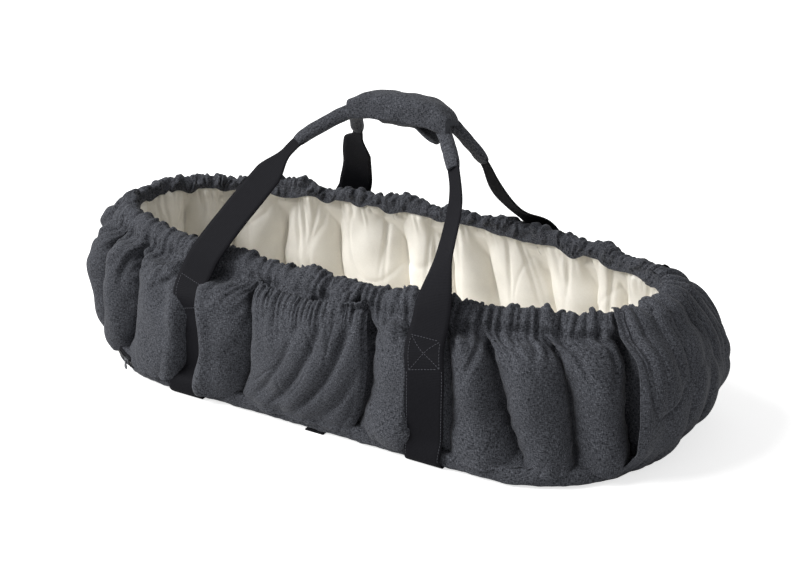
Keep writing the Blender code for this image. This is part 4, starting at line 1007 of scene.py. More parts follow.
def ribbon(name, centre, wide, face, widths, thickness):
    """Flat webbing along a line: at each station a thin section of that station's width, which
    runs up one face, round the edge and back down the other."""
    across = np.linspace(-1, 1, 9)
    outline = [(x, thickness / 2) for x in across] + [(1.0, 0.0)]
    outline += [(x, -thickness / 2) for x in across[::-1]] + [(-1.0, 0.0)]
    outline = np.array(outline)
    half = (widths / 2)[:, None]
    soft = 1 - 0.012 * (np.abs(outline[:, 1]) > 0) * (np.abs(outline[:, 0]) > 0.999)
    x = outline[:, 0] * half * soft
    points = (centre[:, None] + wide[:, None] * x[..., None]
              + face[:, None] * outline[:, 1][None, :, None])
    u = np.append(outline[:, 0], outline[0, 0]) * widths.max() / 2
    uv = cloth_uv(u, run_along(centre)[:, None], (len(centre), len(u)))
    return grid_piece(name, points, uv, wrap=True, caps=True)


def sleeve_range(label, route):
    """Stations covered by a handle's sleeve."""
    reach = np.where(np.arange(len(route)) < HANDLE_STEPS // 2, SLEEVE_REACH[label + "_head"],
                     SLEEVE_REACH[label + "_foot"])
    return np.where(np.abs(route[:, 1]) < reach)[0]


def build_leg(name, material, thread):
    """One webbing leg: from under the base up the wall to its box stitch, then free to the sleeve,
    where it is folded narrow."""
    side = STRAPS[name][0]
    label = "front" if side < 0 else "back"
    angles = np.radians(np.linspace(-90, 46, 70))
    middle = strap_places(name, angles)
    reach = WEBBING_WIDTH / 2 / BELLY_RUN
    # Sunk between the channels, and flush near the box stitch and on the base's edge
    sunk = -STRAP_SINK[name] + 0.0015
    sunk = sunk + (0.0015 - sunk) * np.maximum(smooth((np.sin(angles) - 0.2) / 0.5),
                                               smooth((-np.sin(angles) - 0.84) / 0.13))
    proud = sunk + smooth((-np.sin(angles) - 0.86) / 0.13) * 0.004
    up_wall = wall(middle, angles, proud)
    wide = unit(wall(middle + reach, angles, proud) - wall(middle - reach, angles, proud))
    edge = up_wall[0]
    # Under the base edge: in a short way, then up its band
    under = np.array([[edge[0], edge[1] - side * 0.030, 0.0012],
                      [edge[0], edge[1] - side * 0.006, 0.0012],
                      [edge[0], edge[1] - side * 0.001, 0.0030],
                      [edge[0], edge[1] + side * 0.0010, 0.0080],
                      [edge[0], edge[1] + side * 0.0014, 0.0150]])
    route, route_wide, _ = handle(side)
    covered = sleeve_range(label, route)
    if name.endswith("head"):
        line = np.arange(0, covered[0] + 12)
    else:
        line = np.arange(len(route) - 1, covered[-1] - 12, -1)
    line = line[route[line, 2] > HINGE_HEIGHT + 0.016]
    free, free_wide = route[line], route_wide[line]
    centre = np.concatenate([under, up_wall, free])
    wide = np.concatenate([np.repeat(wide[:1], len(under), 0), wide, free_wide])
    # The width keeps its direction where the wall's and the handle's lines meet
    for i in range(1, len(wide)):
        if np.dot(wide[i], wide[i - 1]) < 0:
            wide[i] = -wide[i]
    run = run_along(centre)
    steps = np.linspace(0, run[-1], 240)
    centre, wide = read_line(centre, run, steps), read_line(wide, run, steps)
    # Rounded where it leaves the wall; its start on the base's edge stays
    for _ in range(30):
        centre[14:-1] = (centre[13:-2] + 2 * centre[14:-1] + centre[15:]) / 4
        wide[1:-1] = (wide[:-2] + 2 * wide[1:-1] + wide[2:]) / 4
    hinge_run = run[len(under) + len(up_wall)]
    share = np.clip((steps - hinge_run) / (run[-1] - 0.044 - hinge_run), 0, 1)
    tangent = unit(np.gradient(centre, axis=0))
    wide = unit(wide - tangent * (wide * tangent).sum(1, keepdims=True))
    face = np.cross(wide, tangent)
    # The outer face looks away from the nest; station 60 lies on the wall
    if face[60, 1] * side < 0:
        face = -face
    # It twists on its way up, and is folded narrow into the sleeve
    lower, upper = LEG_TWIST[name]
    twist = lower * smooth(share / 0.45) + (upper - lower) * smooth((share - 0.5) / 0.45)
    twist = np.radians(twist)[:, None]
    wide, face = (wide * np.cos(twist) + face * np.sin(twist),
                  face * np.cos(twist) - wide * np.sin(twist))
    fold = LEG_FOLD[name]
    narrow = smooth((share - fold) / (1.0 - fold))
    widths = WEBBING_WIDTH + (0.0165 - WEBBING_WIDTH) * narrow
    piece = ribbon(name + "_webbing", centre, wide, face, widths, WEBBING_THICKNESS)
    hinge = np.array([0.0, side * HINGE_Y[label], HINGE_HEIGHT])
    bend = (label + "_handle", tuple(hinge - [0, 0, 0.010]), tuple(hinge + [0, 0, 0.016]))
    finish_piece(piece, material, None)
    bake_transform(piece)
    nodes = {"front_head": ("head_strap_front", "front_handle_webbing"),
             "front_foot": ("foot_strap_front",),
             "back_head": ("head_strap_back", "back_handle_webbing"),
             "back_foot": ("foot_strap_back",)}
    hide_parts(*nodes[name])
    put_stitches(name + "_stitches", leg_stitches(name, centre, wide, face, widths), thread, None,
                 bend)


def leg_stitches(name, centre, wide, face, widths):
    """Lines of stitches on a leg's outer face, as points and normals: the box stitch, and a line
    beside each edge below it."""
    low, high = [int(np.argmax(centre[:, 2] > height)) for height in BOX_HEIGHTS]

    def on_webbing(stations, across):
        """A line at stations of the leg and at shares of its half width."""
        stations, across = np.broadcast_arrays(stations, across)
        k = np.arange(len(centre))
        spot, sideways, normal = [read_line(values, k, stations) for values in (centre, wide, face)]
        half = np.interp(stations, k, widths)[:, None] / 2
        out = spot + sideways * across[:, None] * half + normal * WEBBING_THICKNESS / 2
        return out, normal

    along, over = np.linspace(low, high, 40), np.linspace(-BOX_SHARE, BOX_SHARE, 40)
    lines = [on_webbing(along, -BOX_SHARE), on_webbing(along, BOX_SHARE),
             on_webbing(low, over), on_webbing(high, over)]
    # The front head strap is folded into its crease, where its crossed stitches don't show
    if name != "front_head":
        lines += [on_webbing(along, over), on_webbing(along, -over)]
    edges = np.linspace(22, low, 120)
    return lines + [on_webbing(edges, -EDGE_SHARE), on_webbing(edges, EDGE_SHARE)]


def put_stitches(name, lines, material, body, bend=None, thick=0.0007, pitch=0.0036):
    """Thread stitches along lines of points and normals that lie on cloth: one small bar for
    each, two thirds as long as the pitch, joined into one piece."""
    spots = []
    for points, normals in lines:
        run = run_along(points)
        starts = np.arange(0, run[-1] - pitch, pitch)
        first, last = [read_line(points, run, starts + pitch * share) for share in (0, 0.66)]
        up = unit(read_line(normals, run, starts + pitch * 0.33))
        across = np.cross(up, last - first)
        across *= thick / 2 / np.maximum(np.linalg.norm(across, axis=1, keepdims=True), 1e-9)
        high = up * thick * 0.5
        spots.append(np.stack([first - across - high, first + across - high,
                               first + across * 0.7 + high, first - across * 0.7 + high,
                               last - across - high, last + across - high,
                               last + across * 0.7 + high, last - across * 0.7 + high], 1))
    spots = np.concatenate(spots)
    bars = np.array([(0, 1, 2, 3), (7, 6, 5, 4), (0, 4, 5, 1), (1, 5, 6, 2), (2, 6, 7, 3),
                     (3, 7, 4, 0)])
    faces = (np.arange(len(spots))[:, None, None] * 8 + bars[:, ::-1]).reshape(-1, 4)
    piece = put_mesh(name, spots, faces)
    finish_piece(piece, material, body)
    if bend:
        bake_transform(piece)


def build_under_strap(name, node, x, width, reach, material):
    """Webbing under the base, from edge to edge."""
    count = 60
    centre = np.stack([np.full(count, x), np.linspace(-reach, reach, count),
                       np.full(count, 0.0011)], 1)
    wide, face = np.tile([1.0, 0.0, 0.0], (count, 1)), np.tile([0.0, 0.0, -1.0], (count, 1))
    piece = ribbon(name, centre, wide, face, np.full(count, width), WEBBING_THICKNESS)
    finish_piece(piece, material, "nest")
    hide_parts(node)


def build_sleeve(side, material):
    """Padded sleeve round the folded webbing: a flattened round section, its cosine and sine
    raised to a power below 1, drawn in at both ends, with soft creases from a sum of cosines."""
    label = "front" if side < 0 else "back"
    route, wide, face = handle(side)
    stations = sleeve_range(label, route)
    stations = np.concatenate([[stations[0]] * 2, stations, [stations[-1]] * 2])
    share = np.linspace(0, 1, len(stations))
    ends = np.minimum(share, 1 - share) * len(stations)
    drawn = np.clip(0.55 + 0.45 * np.clip(ends / 6, 0, 1) ** 0.5, 0, 1)
    drawn[[0, -1]] = 0.35
    drawn[[1, -2]] = 0.62
    centre = route[stations].copy()
    tangent = np.gradient(route, axis=0)[stations]
    centre[0] += tangent[0] * 0.6
    centre[-1] -= tangent[-1] * 0.6
    turn = np.arange(SLEEVE_COLUMNS) * 2 * math.pi / SLEEVE_COLUMNS
    draw = np.random.default_rng(SEED + 40 + side)
    crease = 0.0
    for _ in range(10):
        crease = crease + np.cos(draw.integers(0, 4) * turn[None, :] + draw.uniform(0, 6.3)
                                 + share[:, None] * draw.uniform(40, 120))
    thick, broad = [half * drawn for half in SLEEVE_SECTION]
    c, s = np.cos(turn), np.sin(turn)
    x = np.sign(c) * np.abs(c) ** 0.85 * thick[:, None] * (1 + 0.007 * crease)
    y = np.sign(s) * np.abs(s) ** 0.85 * broad[:, None] * (1 + 0.007 * crease)
    points = (centre[:, None] + face[stations][:, None] * x[..., None]
              + wide[stations][:, None] * y[..., None])
    girth = 2 * math.pi * math.sqrt((thick.max() ** 2 + broad.max() ** 2) / 2)
    uv = cloth_uv(np.arange(SLEEVE_COLUMNS + 1) / SLEEVE_COLUMNS * girth,
                  run_along(centre)[:, None], (len(centre), SLEEVE_COLUMNS + 1))
    piece = grid_piece(label + "_sleeve_pad", points, uv, wrap=True, caps=True)
    finish_piece(piece, material, label + "_handle", 1)
    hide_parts(label + "_sleeve")


def build_grip(material):
    """Padded panel over both sleeves: an arched section, thin at its hems, along the front
    handle's middle stretch."""
    route, _, face = handle(-1, hanging=False)
    inside = np.where((route[:, 0] >= -0.043) & (route[:, 0] <= 0.098) & (route[:, 2] > 0.3))[0]
    # Distance outwards from the front sleeve's middle, and height above it
    outer = np.array([(0.0098, -0.0135), (0.0124, -0.012), (0.0130, -0.006), (0.0130, 0.002),
                      (0.0125, 0.0085), (0.0103, 0.0130), (0.0060, 0.0160), (0.0, 0.0172),
                      (-0.0075, 0.0175), (-0.0150, 0.0170), (-0.0185, 0.0155), (-0.0200, 0.0135)])
    inner = np.array([(-0.0185, 0.0122), (-0.0120, 0.0122), (0.0, 0.0120), (0.0050, 0.0105),
                      (0.0076, 0.0070), (0.0078, 0.0), (0.0078, -0.0080), (0.0086, -0.0128)])
    section = np.concatenate([outer, inner])
    ring = np.concatenate([section, section[:1]])
    run = run_along(ring)
    count = 56
    even = np.linspace(0, run[-1], count + 1)[:-1]
    section = read_line(ring, run, even)
    # Towards its two hems the section shrinks about its own middle
    share = np.linspace(-1, 1, len(inside))
    rounding = np.clip(1 - np.abs(share) ** 6, 0, 1) ** 0.8
    middle = np.array([-0.002, 0.010])
    thin = 0.62 + 0.38 * np.clip((1 - np.abs(share)) / 0.07, 0, 1) ** 0.5
    at = middle + (section - middle) * (0.72 + 0.28 * rounding * thin)[:, None, None]
    points = (route[inside][:, None] + face[inside][:, None] * at[..., :1]
              + np.array([0, 0, 1.0]) * at[..., 1:])
    along = np.linalg.norm(np.gradient(route[inside], axis=0), axis=1).cumsum()
    # Soft creases from a sum of cosines
    draw = np.random.default_rng(SEED + 45)
    soft = 0.0
    for _ in range(8):
        soft = soft + np.cos(along[:, None] * draw.uniform(60, 260)
                             + even[None, :] * draw.uniform(-220, 220) + draw.uniform(0, 6.3))
    points = shift(points, 0.00022 * soft, wrap=True)
    uv = cloth_uv(np.append(even, run[-1]), along[:, None], (len(inside), count + 1))
    piece = grid_piece("grip_panel", points, uv, wrap=True, caps=True)
    finish_piece(piece, material, "front_handle", 1)
    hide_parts("grip_wrap")


def flap_surface(a, b):
    """The flap's x, y, z and half thickness, for a from -1 at its head side to 1 at its foot side
    and b from 0 at its hinge to 1 at its loose edge: flat, with a cubic droop towards the foot
    side, a small rise at the hinge and rounded corners."""
    corner = 1 - 0.10 * np.abs(a) ** 6 * b ** 2
    x = FLAP_X + FLAP_HALF_LENGTH * a * (1 - 0.05 * b ** 4)
    y = FLAP_HINGE_Y + FLAP_WIDTH * b * corner
    droop = -0.0016 * np.abs(a) ** 3 * b ** 2 + 0.0004 * np.sin(a * 9 + b * 4)
    droop = droop - 0.0165 * smooth((a - 0.15) / 0.85) * (1 - 0.35 * b)
    droop = droop + 0.0054 * smooth(1 - b / 0.35)
    half = 0.0015 * np.clip((1 - np.abs(a)) * 12, 0, 1) ** 0.5 * np.clip((1 - b) * 8, 0.0, 1) ** 0.5
    half = half * np.clip(b * 8 + 0.5, 0, 1) + 0.0002
    return x, y, FLAP_HEIGHT + droop, half


def closed_pad(name, x, y, under, over, width, depth):
    """A pad closed all round, between an under and an over height at the same x and y: each of
    its rows runs across the top and back below. width and depth are its lengths, for its UV."""
    top, low = np.stack([x, y, over], -1), np.stack([x, y, under], -1)
    rows, columns = x.shape
    around = np.concatenate([np.linspace(0, width, columns), np.linspace(width, 2 * width, columns),
                             [2 * width]])
    uv = cloth_uv(around, np.linspace(0, depth, rows)[:, None], (rows, len(around)))
    return grid_piece(name, np.concatenate([top, low[:, ::-1]], 1), uv, wrap=True, caps=True)


def build_flap(material, hooks):
    """The wrap's lower flap: a thin padded panel with rounded corners that droops a little and
    bends at its hinge, with a strip of hook tape on top that follows it."""
    x, y, z, half = flap_surface(np.linspace(-1, 1, 48)[None, :], np.linspace(0, 1, 20)[:, None])
    flap = closed_pad("grip_flap_pad", x, y, z - half, z + half, 0.07, 0.033)
    finish_piece(flap, material, None)
    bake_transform(flap)
    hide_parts("grip_flap")
    low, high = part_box("flap_hook_tape")
    a = (np.linspace(low[0], high[0], 30)[None, :] - FLAP_X) / FLAP_HALF_LENGTH
    b = (np.linspace(low[1], high[1], 7)[:, None] - FLAP_HINGE_Y) / FLAP_WIDTH
    x, y, z, half = flap_surface(a, b)
    tape = closed_pad("flap_hook_strip", x, y, z + half - 0.0002, z + half + 0.0010, 0.05, 0.02)
    finish_piece(tape, hooks, "wrap_flap")
    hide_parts("flap_hook_tape")


def build_pocket(side, material):
    """Pocket panel: full at its mouth, sewn down in the seams at its edges, with an elastic hem.
    Its cut is larger than its place, so it settles in soft folds."""
    label = "front" if side < 0 else "back"
    rows, columns = 36, 46
    across = np.linspace(0, 1, columns)
    from_head = across if side < 0 else 1 - across
    level = np.linspace(0, 1, rows)[:, None]
    # Its hem hangs in a curve from the rim casing's stitch line, steeper on its head side
    sag = 0.0125 * np.sin(math.pi * from_head ** 0.85) ** 0.6
    hem_height = 0.1690 - sag
    heights = 0.0105 + (hem_height - 0.0105) * level
    rise = np.where(heights < BELLY_HEIGHT, BELLY_HEIGHT - WALL_BOTTOM, WALL_TOP - BELLY_HEIGHT)
    angles = np.arcsin(np.clip((heights - BELLY_HEIGHT) / rise, -1, 1))
    first, last = [edge_places(span, angles) for span in pocket_span(side)]
    places = first + (last - first) * across
    crown = np.sin(math.pi * across) ** 0.45
    full = 0.0045 + 0.0030 * smooth((0.3 - level) / 0.3) + 0.0075 * level ** 3
    full = full - 0.0050 * smooth((0.03 - level) / 0.03)
    sunk = 0.018 * (1 - level ** 6) * smooth(level / 0.2) - 0.004 * level ** 6
    proud = full * crown - sunk * (1 - crown)
    start = wall(places, angles, proud)
    start[..., 2] = heights
    held = np.zeros((rows, columns))
    held[:, [0, -1]] = 1
    held[[0, -1], :] = 1
    u_step = np.linalg.norm(np.diff(start, axis=1), axis=-1).mean(0) * 1.14
    v_step = np.linalg.norm(np.diff(start, axis=0), axis=-1).mean(1) * 1.07
    u, v = flat_cut(u_step, v_step)
    start = settle(label + "_pocket_cloth", start, u, v, held, pressure=3.0, bending=0.3,
                   frames=24, cap=0.010)
    points = refine(refine(start))
    rows, columns = points.shape[:2]
    level = np.linspace(0, 1, rows)[:, None]
    across = np.linspace(0, 1, columns)[None, :]
    place = np.interp(across, [0, 1], [first.mean(), last.mean()])
    # The elastic's fine gathers in the hem, longer ones below it, and four slanting drags
    hem = smooth((level - 0.84) / 0.10)
    detail = 0.0036 * (gathers(place + 0.0005 * np.sin(level * 9), 1.0, 0.0070, SEED + 50, 1, 1)
                       - 0.6) * hem
    detail = detail + 0.0040 * gathers(place + 0.004 * level, level, 0.013, SEED + 52, 0.15, 0.55)
    slant = across * 0.9 + (1 - level) * 0.42
    for at, width, deep in ((0.50, 0.030, 0.0030), (0.66, 0.032, 0.0055), (0.86, 0.038, 0.0085),
                            (1.06, 0.040, 0.0070)):
        fade = smooth(level * 3) * smooth((1 - level) * 5)
        fade = fade * smooth(across * 4) * smooth((1 - across) * 6)
        detail = detail - deep * np.exp(-((slant - at) / width) ** 2) * fade
    detail = detail + 0.0009 * field(place, level * 0.12, 0.035, SEED + 51)
    detail = detail - 0.0013 * creases(place - 0.015 * level, level * 0.12, 0.070, SEED + 53, 1.5)
    points = shift(points, detail)
    # The hem turns over its edge and runs down behind
    lip = points[-1]
    inward = -surface_normals(points)[-1]
    back = [lip + inward * 0.0012 + [0, 0, 0.0004], lip + inward * 0.0024 - [0, 0, 0.0006],
            lip + inward * 0.0026 - [0, 0, 0.009]]
    points = np.concatenate([points, np.array(back)])
    steps = np.linspace(0, v[-1, 0], rows)
    steps = np.concatenate([steps, steps[-1] + np.array([0.001, 0.002, 0.010])])
    uv = cloth_uv(across * u[0, -1], steps[:, None], points.shape[:2])
    piece = grid_piece(label + "_pocket_panel", points, uv)
    finish_piece(piece, material, "nest")
    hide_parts(label + "_pocket", label + "_pocket_elastic")


def build_foot_cover(material, thread):
    """Cover round the foot end: it stands off the channels, goes over the rim and tucks under
    the base, with a hem at each side edge."""
    columns = 70
    near, far = np.array(COVER_NEAR) / BELLY_RUN, np.array(COVER_FAR) / BELLY_RUN
    angles = np.radians(np.linspace(-90, 90, 44))
    share = np.linspace(0, 1, columns)

    def between(at):
        first, last = edge_places(near, at), edge_places(far, at)
        return first[:, None] + (last - first)[:, None] * share

    body = wall(between(angles), angles[:, None],
                0.0090 + 0.0065 * smooth((angles[:, None] - 0.9) / 0.5))
    places = between(np.radians([90.0]))[0]
    over = [beside(RIM, places, out, height) for out, height in COVER_OVER]
    # Under the base the cover's lower edge runs further round on its near side
    places = between(np.radians([-90.0]))[0] - 0.0175 * (1 - share) ** 2
    under = []
    for out, height in COVER_UNDER:
        under.append(beside(BASE, places, out, height))
        places = places + 0.0035 * (1 - share) ** 2
    grid = np.concatenate([np.array(under), body[1:-1], np.array(over)])
    # Even steps from the underside to the rim
    run = np.linalg.norm(np.diff(grid, axis=0), axis=-1).mean(1)
    run = np.concatenate([[0], np.cumsum(run)])
    rows = 60
    even = np.linspace(0, run[-1], rows)
    start = np.stack([read_line(grid[:, c], run, even) for c in range(columns)], 1)
    for _ in range(8):
        start[3:-2] = (start[2:-3] + 2 * start[3:-2] + start[4:-1]) / 4
    held = np.zeros((rows, columns))
    held[[0, 1, 2, 3, -1, -2, -3], :] = 1
    u_step = np.linalg.norm(np.diff(start, axis=1), axis=-1).max(0) * 1.02
    v_step = np.linalg.norm(np.diff(start, axis=0), axis=-1).mean(1) * 1.03
    u, v = flat_cut(u_step, v_step)
    start = settle("foot_cover_sheet", start, u, v, held, pressure=1.5, bending=0.4, cap=0.006)
    points = refine(refine(start))
    rows, columns = points.shape[:2]
    level = np.linspace(0, 1, rows)[:, None]
    across = np.linspace(0, 1, columns)[None, :]
    place = np.linspace(-0.10, 0.11, columns)[None, :] / BELLY_RUN + 0 * level
    # Folds down from the rim and up from the base, swellings and creases drawn out upwards
    folds = gathers(place + 0.004 * level, level, 0.017, SEED + 60, 0.35, 1.0)
    folds = folds + 0.7 * gathers(place - 0.002 * level, 1 - level, 0.020, SEED + 62, 0.2, 0.6)
    detail = 0.0072 * folds
    detail = detail + 0.0027 * field(place, level * 0.27, 0.032, SEED + 61, stretch=4.0)
    detail = detail - 0.0030 * creases(place, level * 0.27, 0.060, SEED + 63, stretch=3.5)
    # The side hems, 14 mm wide, lie flatter and stand a little proud
    band = np.minimum(across, 1 - across) * u[0, -1] / 0.014
    detail = detail * (0.35 + 0.65 * smooth(band)) + 0.0012 * (1 - smooth((band - 0.9) / 0.1))
    detail = detail * smooth((level - 0.05) / 0.12)
    slant = across + level * 0.35
    for at, width, deep in ((0.45, 0.035, 0.0018), (0.80, 0.04, 0.0022), (1.02, 0.03, 0.0018)):
        detail = detail - deep * np.exp(-((slant - at) / width) ** 2)
    points = shift(points, detail)
    points = edge_hems(points, 0.0022, 0.010)
    shape = points.shape[:2]
    u_fine = np.linspace(0, u[0, -1], shape[1] - 4)
    u_fine = np.concatenate([[u_fine[0] - 0.010, u_fine[0] - 0.001], u_fine,
                             [u_fine[-1] + 0.001, u_fine[-1] + 0.010]])
    uv = cloth_uv(u_fine, np.linspace(0, v[-1, 0], rows)[:, None], shape)
    piece = grid_piece("foot_cover_cloth", points, uv)
    finish_piece(piece, material, "nest")
    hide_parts("foot_cover")
    normals = surface_normals(points)
    lines = [(points[:, k], normals[:, k]) for k in (12, shape[1] - 13)]
    put_stitches("foot_cover_stitches", lines, thread, "nest")


def edge_hems(points, thick, deep):
    """Fold both side edges of a grid back behind it."""
    normal = surface_normals(points)
    along = unit(np.gradient(points, axis=1))
    first, last = points[:, 0], points[:, -1]
    left = [first - normal[:, 0] * thick + along[:, 0] * deep, first - normal[:, 0] * thick * 0.6]
    right = [last - normal[:, -1] * thick * 0.6, last - normal[:, -1] * thick - along[:, -1] * deep]
    return np.concatenate([np.stack(left, 1), points, np.stack(right, 1)], 1)


def zip_point(turn, radius):
    """Points round the head end at a radius, for angles from the front side."""
    return np.stack([ZIP_X - np.sin(turn) * radius, -np.cos(turn) * radius], -1)


def build_zip(tape_material, coil_material):
    """Zip round the head end: a tape with ribbed edges, and two rows of coil teeth that mesh."""
    count = 200
    turn = np.radians(np.linspace(*ZIP_TURN, count))
    # Radius and height of the tape's section
    section = [(0.1783, 0.0088), (0.1794, 0.0090), (0.1795, 0.0125), (0.1795, 0.0150),
               (0.1795, 0.0175), (0.1794, 0.0210), (0.1783, 0.0212)]
    points = np.array([np.concatenate([zip_point(turn, radius), np.full((count, 1), height)], 1)
                       for radius, height in section])
    steps = np.linspace(0, 0.178 * math.radians(ZIP_TURN[1] - ZIP_TURN[0]), count)
    piece = grid_piece("zip_tape_cloth", points,
                       cloth_uv(steps, np.array(section)[:, 1:], points.shape[:2]))
    finish_piece(piece, tape_material, "nest")
    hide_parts("zip_tape")
    # The teeth: two rows that overlap in height, the second half a step further round
    count = 300
    turns = np.radians(np.linspace(22.3, 157.7, count))
    spots, faces = [], []
    for row, (low, high) in enumerate(((0.0132, 0.0156), (0.0144, 0.0168))):
        middle = turns + (row * 0.5) * (turns[1] - turns[0])
        # Half a tooth's width, as an angle
        half = 0.00042 / 0.18
        corners = []
        for radius, z in ((0.1796, low), (0.1812, low + 0.0003), (0.1812, high - 0.0003),
                          (0.1796, high)):
            for shift_by in (-half, half):
                plan = zip_point(middle + shift_by, radius)
                corners.append(np.concatenate([plan, np.full((count, 1), z)], 1))
        corners = np.stack(corners, 1)
        base = row * count * 8 + np.arange(count)[:, None, None] * 8
        quads = np.array([(0, 2, 3, 1), (2, 4, 5, 3), (4, 6, 7, 5), (6, 0, 1, 7), (0, 6, 4, 2),
                          (1, 3, 5, 7)])
        spots.append(corners.reshape(-1, 3))
        faces.append((base + quads).reshape(-1, 4))
    piece = put_mesh("zip_coils", np.concatenate(spots), np.concatenate(faces))
    finish_piece(piece, coil_material, "nest")
    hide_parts("zip_chain")


def keep_node(name, material):
    """A kept node takes its procedural material."""
    node = bpy.data.objects[name]
    node.data.materials.clear()
    node.data.materials.append(material)


def build_stage():
    """Plain pale floor, even world light, and one wide soft sun from the front left. The floor
    is a little brighter to the camera, as an overexposed studio table is."""
    bpy.ops.mesh.primitive_plane_add(size=30)
    floor = bpy.context.object
    floor.name = "floor"
    # Matt paper: no gloss, so that only the object's shadow shows on it
    material, tree, shader = new_material("matt studio paper")
    shader.inputs["Base Color"].default_value = (0.86, 0.86, 0.86, 1)
    shader.inputs["Roughness"].default_value = 1.0
    shader.inputs["Specular IOR Level"].default_value = 0.0
    shader.inputs["Emission Color"].default_value = (1, 1, 1, 1)
    path = add(tree, "LightPath").outputs["Is Camera Ray"]
    glow = add(tree, "Math", {0: path, 1: FLOOR_GLOW}, operation="MULTIPLY").outputs[0]
    tree.links.new(glow, shader.inputs["Emission Strength"])
    floor.data.materials.append(material)
    world = bpy.data.worlds.new("studio")
    bpy.context.scene.world = world
    world.use_nodes = True
    tree = world.node_tree
    out = tree.nodes["World Output"]
    soft = tree.nodes["Background"]
    soft.inputs["Color"].default_value = (1, 1, 1, 1)
    soft.inputs["Strength"].default_value = WORLD_LIGHT
    seen = add(tree, "Background", {"Color": (1, 1, 1, 1), "Strength": 1.0}).outputs[0]
    path = add(tree, "LightPath")
    shown = add(tree, "Math", {0: path.outputs["Is Camera Ray"], 1: path.outputs["Is Glossy Ray"]},
                operation="MAXIMUM").outputs[0]
    mix = add(tree, "MixShader", {0: shown, 1: soft.outputs[0], 2: seen}).outputs[0]
    tree.links.new(mix, out.inputs["Surface"])
    sun = bpy.data.lights.new("soft key", "SUN")
    sun.energy = SUN_LIGHT
    sun.angle = math.radians(SUN_WIDTH)
    lamp = bpy.data.objects.new("soft key", sun)
    lamp.rotation_euler = Vector(SUN_DIRECTION).to_track_quat("-Z", "Y").to_euler()
    bpy.context.scene.collection.objects.link(lamp)


def build_camera():
    """The photograph's view: from the front, towards the foot end and above."""
    camera = bpy.data.cameras.new("camera")
    camera.lens = LENS
    camera.sensor_width = SENSOR
    holder = bpy.data.objects.new("camera", camera)
    holder.location = CAMERA_PLACE
    aim = Vector(CAMERA_AIM) - holder.location
    holder.rotation_euler = aim.to_track_quat("-Z", "Y").to_euler()
    bpy.context.scene.collection.objects.link(holder)
    bpy.context.scene.camera = holder


def ribbed(name, dark, light, rib=0.0016, roughness=0.75):
    """Webbing: fine cross ribs, uneven from rib to rib, under a faint lengthwise thread. A wave
    texture's bands are 0.314 / Scale wide; the warp's threads are 1.1 mm apart."""
    material, tree, shader = new_material(name)
    coordinates = add(tree, "TexCoord").outputs["UV"]
    ribs = add(tree, "TexWave", {"Vector": coordinates, "Scale": 0.314 / rib, "Distortion": 1.2,
                                 "Detail": 2.0, "Detail Scale": 3.0}, wave_type="BANDS",
               bands_direction="Y").outputs["Fac"]
    drawn = add(tree, "Mapping", {"Vector": coordinates, "Scale": (1.0, 0.15, 1.0)}).outputs[0]
    warp = add(tree, "TexNoise", {"Vector": drawn, "Scale": 900.0, "Detail": 2.0}).outputs[0]
    both = add(tree, "Math", {0: ribs, 1: warp}, operation="ADD").outputs[0]
    colour = ramp(tree, both, [(0.35, linear(dark)), (1.0, linear(light))])
    tree.links.new(colour, shader.inputs["Base Color"])
    bumped = add(tree, "Bump", {"Strength": 0.25, "Distance": rib * 0.25, "Height": both})
    tree.links.new(bumped.outputs[0], shader.inputs["Normal"])
    shader.inputs["Roughness"].default_value = roughness
    shader.inputs["Specular IOR Level"].default_value = 0.08
    return material


def speckled(name, dark, light, per_mm, roughness, metallic=0.0, bump=0.1):
    """A plain material with a fine speckle in its colour, roughness and height: per_mm is the
    number of specks to the millimetre."""
    material, tree, shader = new_material(name)
    coordinates = add(tree, "TexCoord").outputs["Object"]
    speck = add(tree, "TexNoise", {"Vector": coordinates, "Scale": 1000 * per_mm,
                                   "Detail": 3.0}).outputs[0]
    tree.links.new(ramp(tree, speck, [(0.35, linear(dark)), (0.65, linear(light))]),
                   shader.inputs["Base Color"])
    rough = add(tree, "MapRange", {"Value": speck, "To Min": roughness - 0.08,
                                   "To Max": roughness + 0.08}).outputs[0]
    tree.links.new(rough, shader.inputs["Roughness"])
    bumped = add(tree, "Bump", {"Strength": bump, "Distance": 0.0004, "Height": speck})
    tree.links.new(bumped.outputs[0], shader.inputs["Normal"])
    shader.inputs["Metallic"].default_value = metallic
    return material


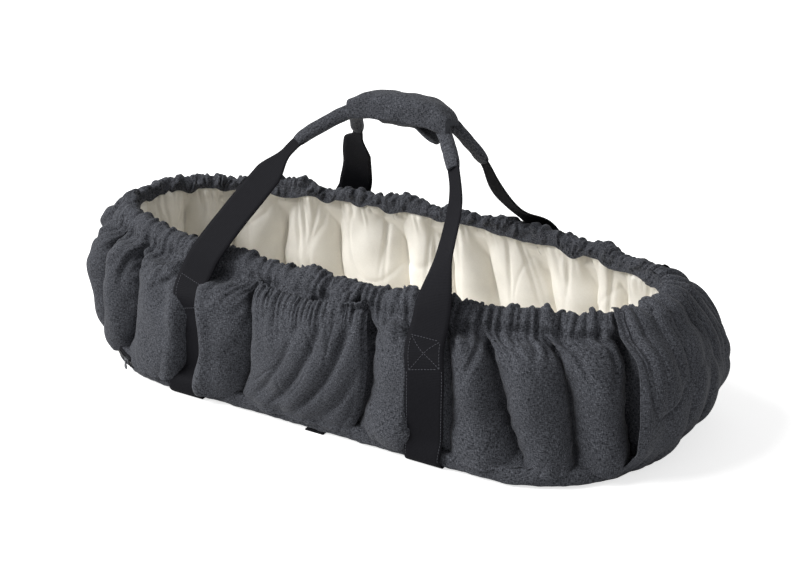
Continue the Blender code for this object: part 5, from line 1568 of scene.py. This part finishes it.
def build():
    """All pieces, their materials, the stage and the camera."""
    # Outer cloth: cotton chambray, a plain weave of a dark warp and a pale weft, so it is matt
    # charcoal with pale flecks and hardly any gloss. Its threads are really about 0.4 mm apart;
    # they are drawn 1.0 mm wide, so that they show.
    chambray = woven("charcoal chambray", "#191a1e", "#56585e", "#a2a4ac", thread=0.0010,
                     bump=0.05, sheen=0.08, flecks=0.5)
    # Lining and mattress: bleached cotton in a smooth plain weave, an even off-white with a soft
    # sheen. Its threads are drawn 0.7 mm wide, coarser than real, so that they show.
    cotton = woven("off-white cotton", "#efebe2", "#f4f1e9", "#f8f6f0", thread=0.0007,
                   roughness=0.8, bump=0.10, sheen=0.1)
    # Straps and zip tape: woven polypropylene webbing, near black and dull, with cross ribs that
    # are drawn 1.6 mm apart, about twice the real ones, so that they show
    webbing = ribbed("black webbing", "#0a0a0d", "#18181c")
    # Stitches: spun polyester thread, a shade paler than the webbing and without gloss
    thread = speckled("charcoal sewing thread", "#303137", "#45474e", 2.5, 0.7)
    # Zip teeth: a moulded nylon coil, which is smooth and keeps a soft highlight
    coil = speckled("black zip coil", "#141416", "#26262a", 0.9, 0.45)
    # Slider and pull: die-cast zinc under a thin grey paint, still mostly metal in its highlights
    painted = speckled("painted zip metal", "#54565a", "#74767a", 0.7, 0.4, metallic=0.8)
    # Hook and loop tape: moulded nylon hooks and brushed loops, a dark rough pile
    hooks = speckled("hook and loop tape", "#18181b", "#303036", 1.5, 0.85, bump=0.6)
    # Base board: pressed grey board, fibrous and chalky
    board = speckled("stiff grey board", "#8a857c", "#a09a8f", 0.3, 0.8)
    wall_top = build_outer_wall(chambray)
    build_lining(cotton)
    build_rim_casing(chambray, thread, wall_top)
    build_base(chambray)
    build_mattress(cotton)
    for name in STRAPS:
        build_leg(name, webbing, thread)
    for name, node, x, width, reach in (
            ("head_under_webbing", "head_strap_under", -0.169, WEBBING_WIDTH, 0.150),
            ("foot_under_webbing", "foot_strap_under", 0.168, WEBBING_WIDTH, 0.150),
            ("middle_under_webbing", "middle_strap", 0.013, 0.025, 0.178)):
        build_under_strap(name, node, x, width, reach, webbing)
    for side in (-1, 1):
        build_sleeve(side, chambray)
        build_pocket(side, chambray)
    build_grip(chambray)
    build_flap(chambray, hooks)
    build_foot_cover(chambray, thread)
    build_zip(webbing, coil)
    keep_node("zip_slider", painted)
    keep_node("zip_pull", painted)
    keep_node("sleeve_loop_tape", hooks)
    keep_node("base_board", board)
    build_stage()
    build_camera()


build()
bpy.context.scene.view_settings.view_transform = "Standard"
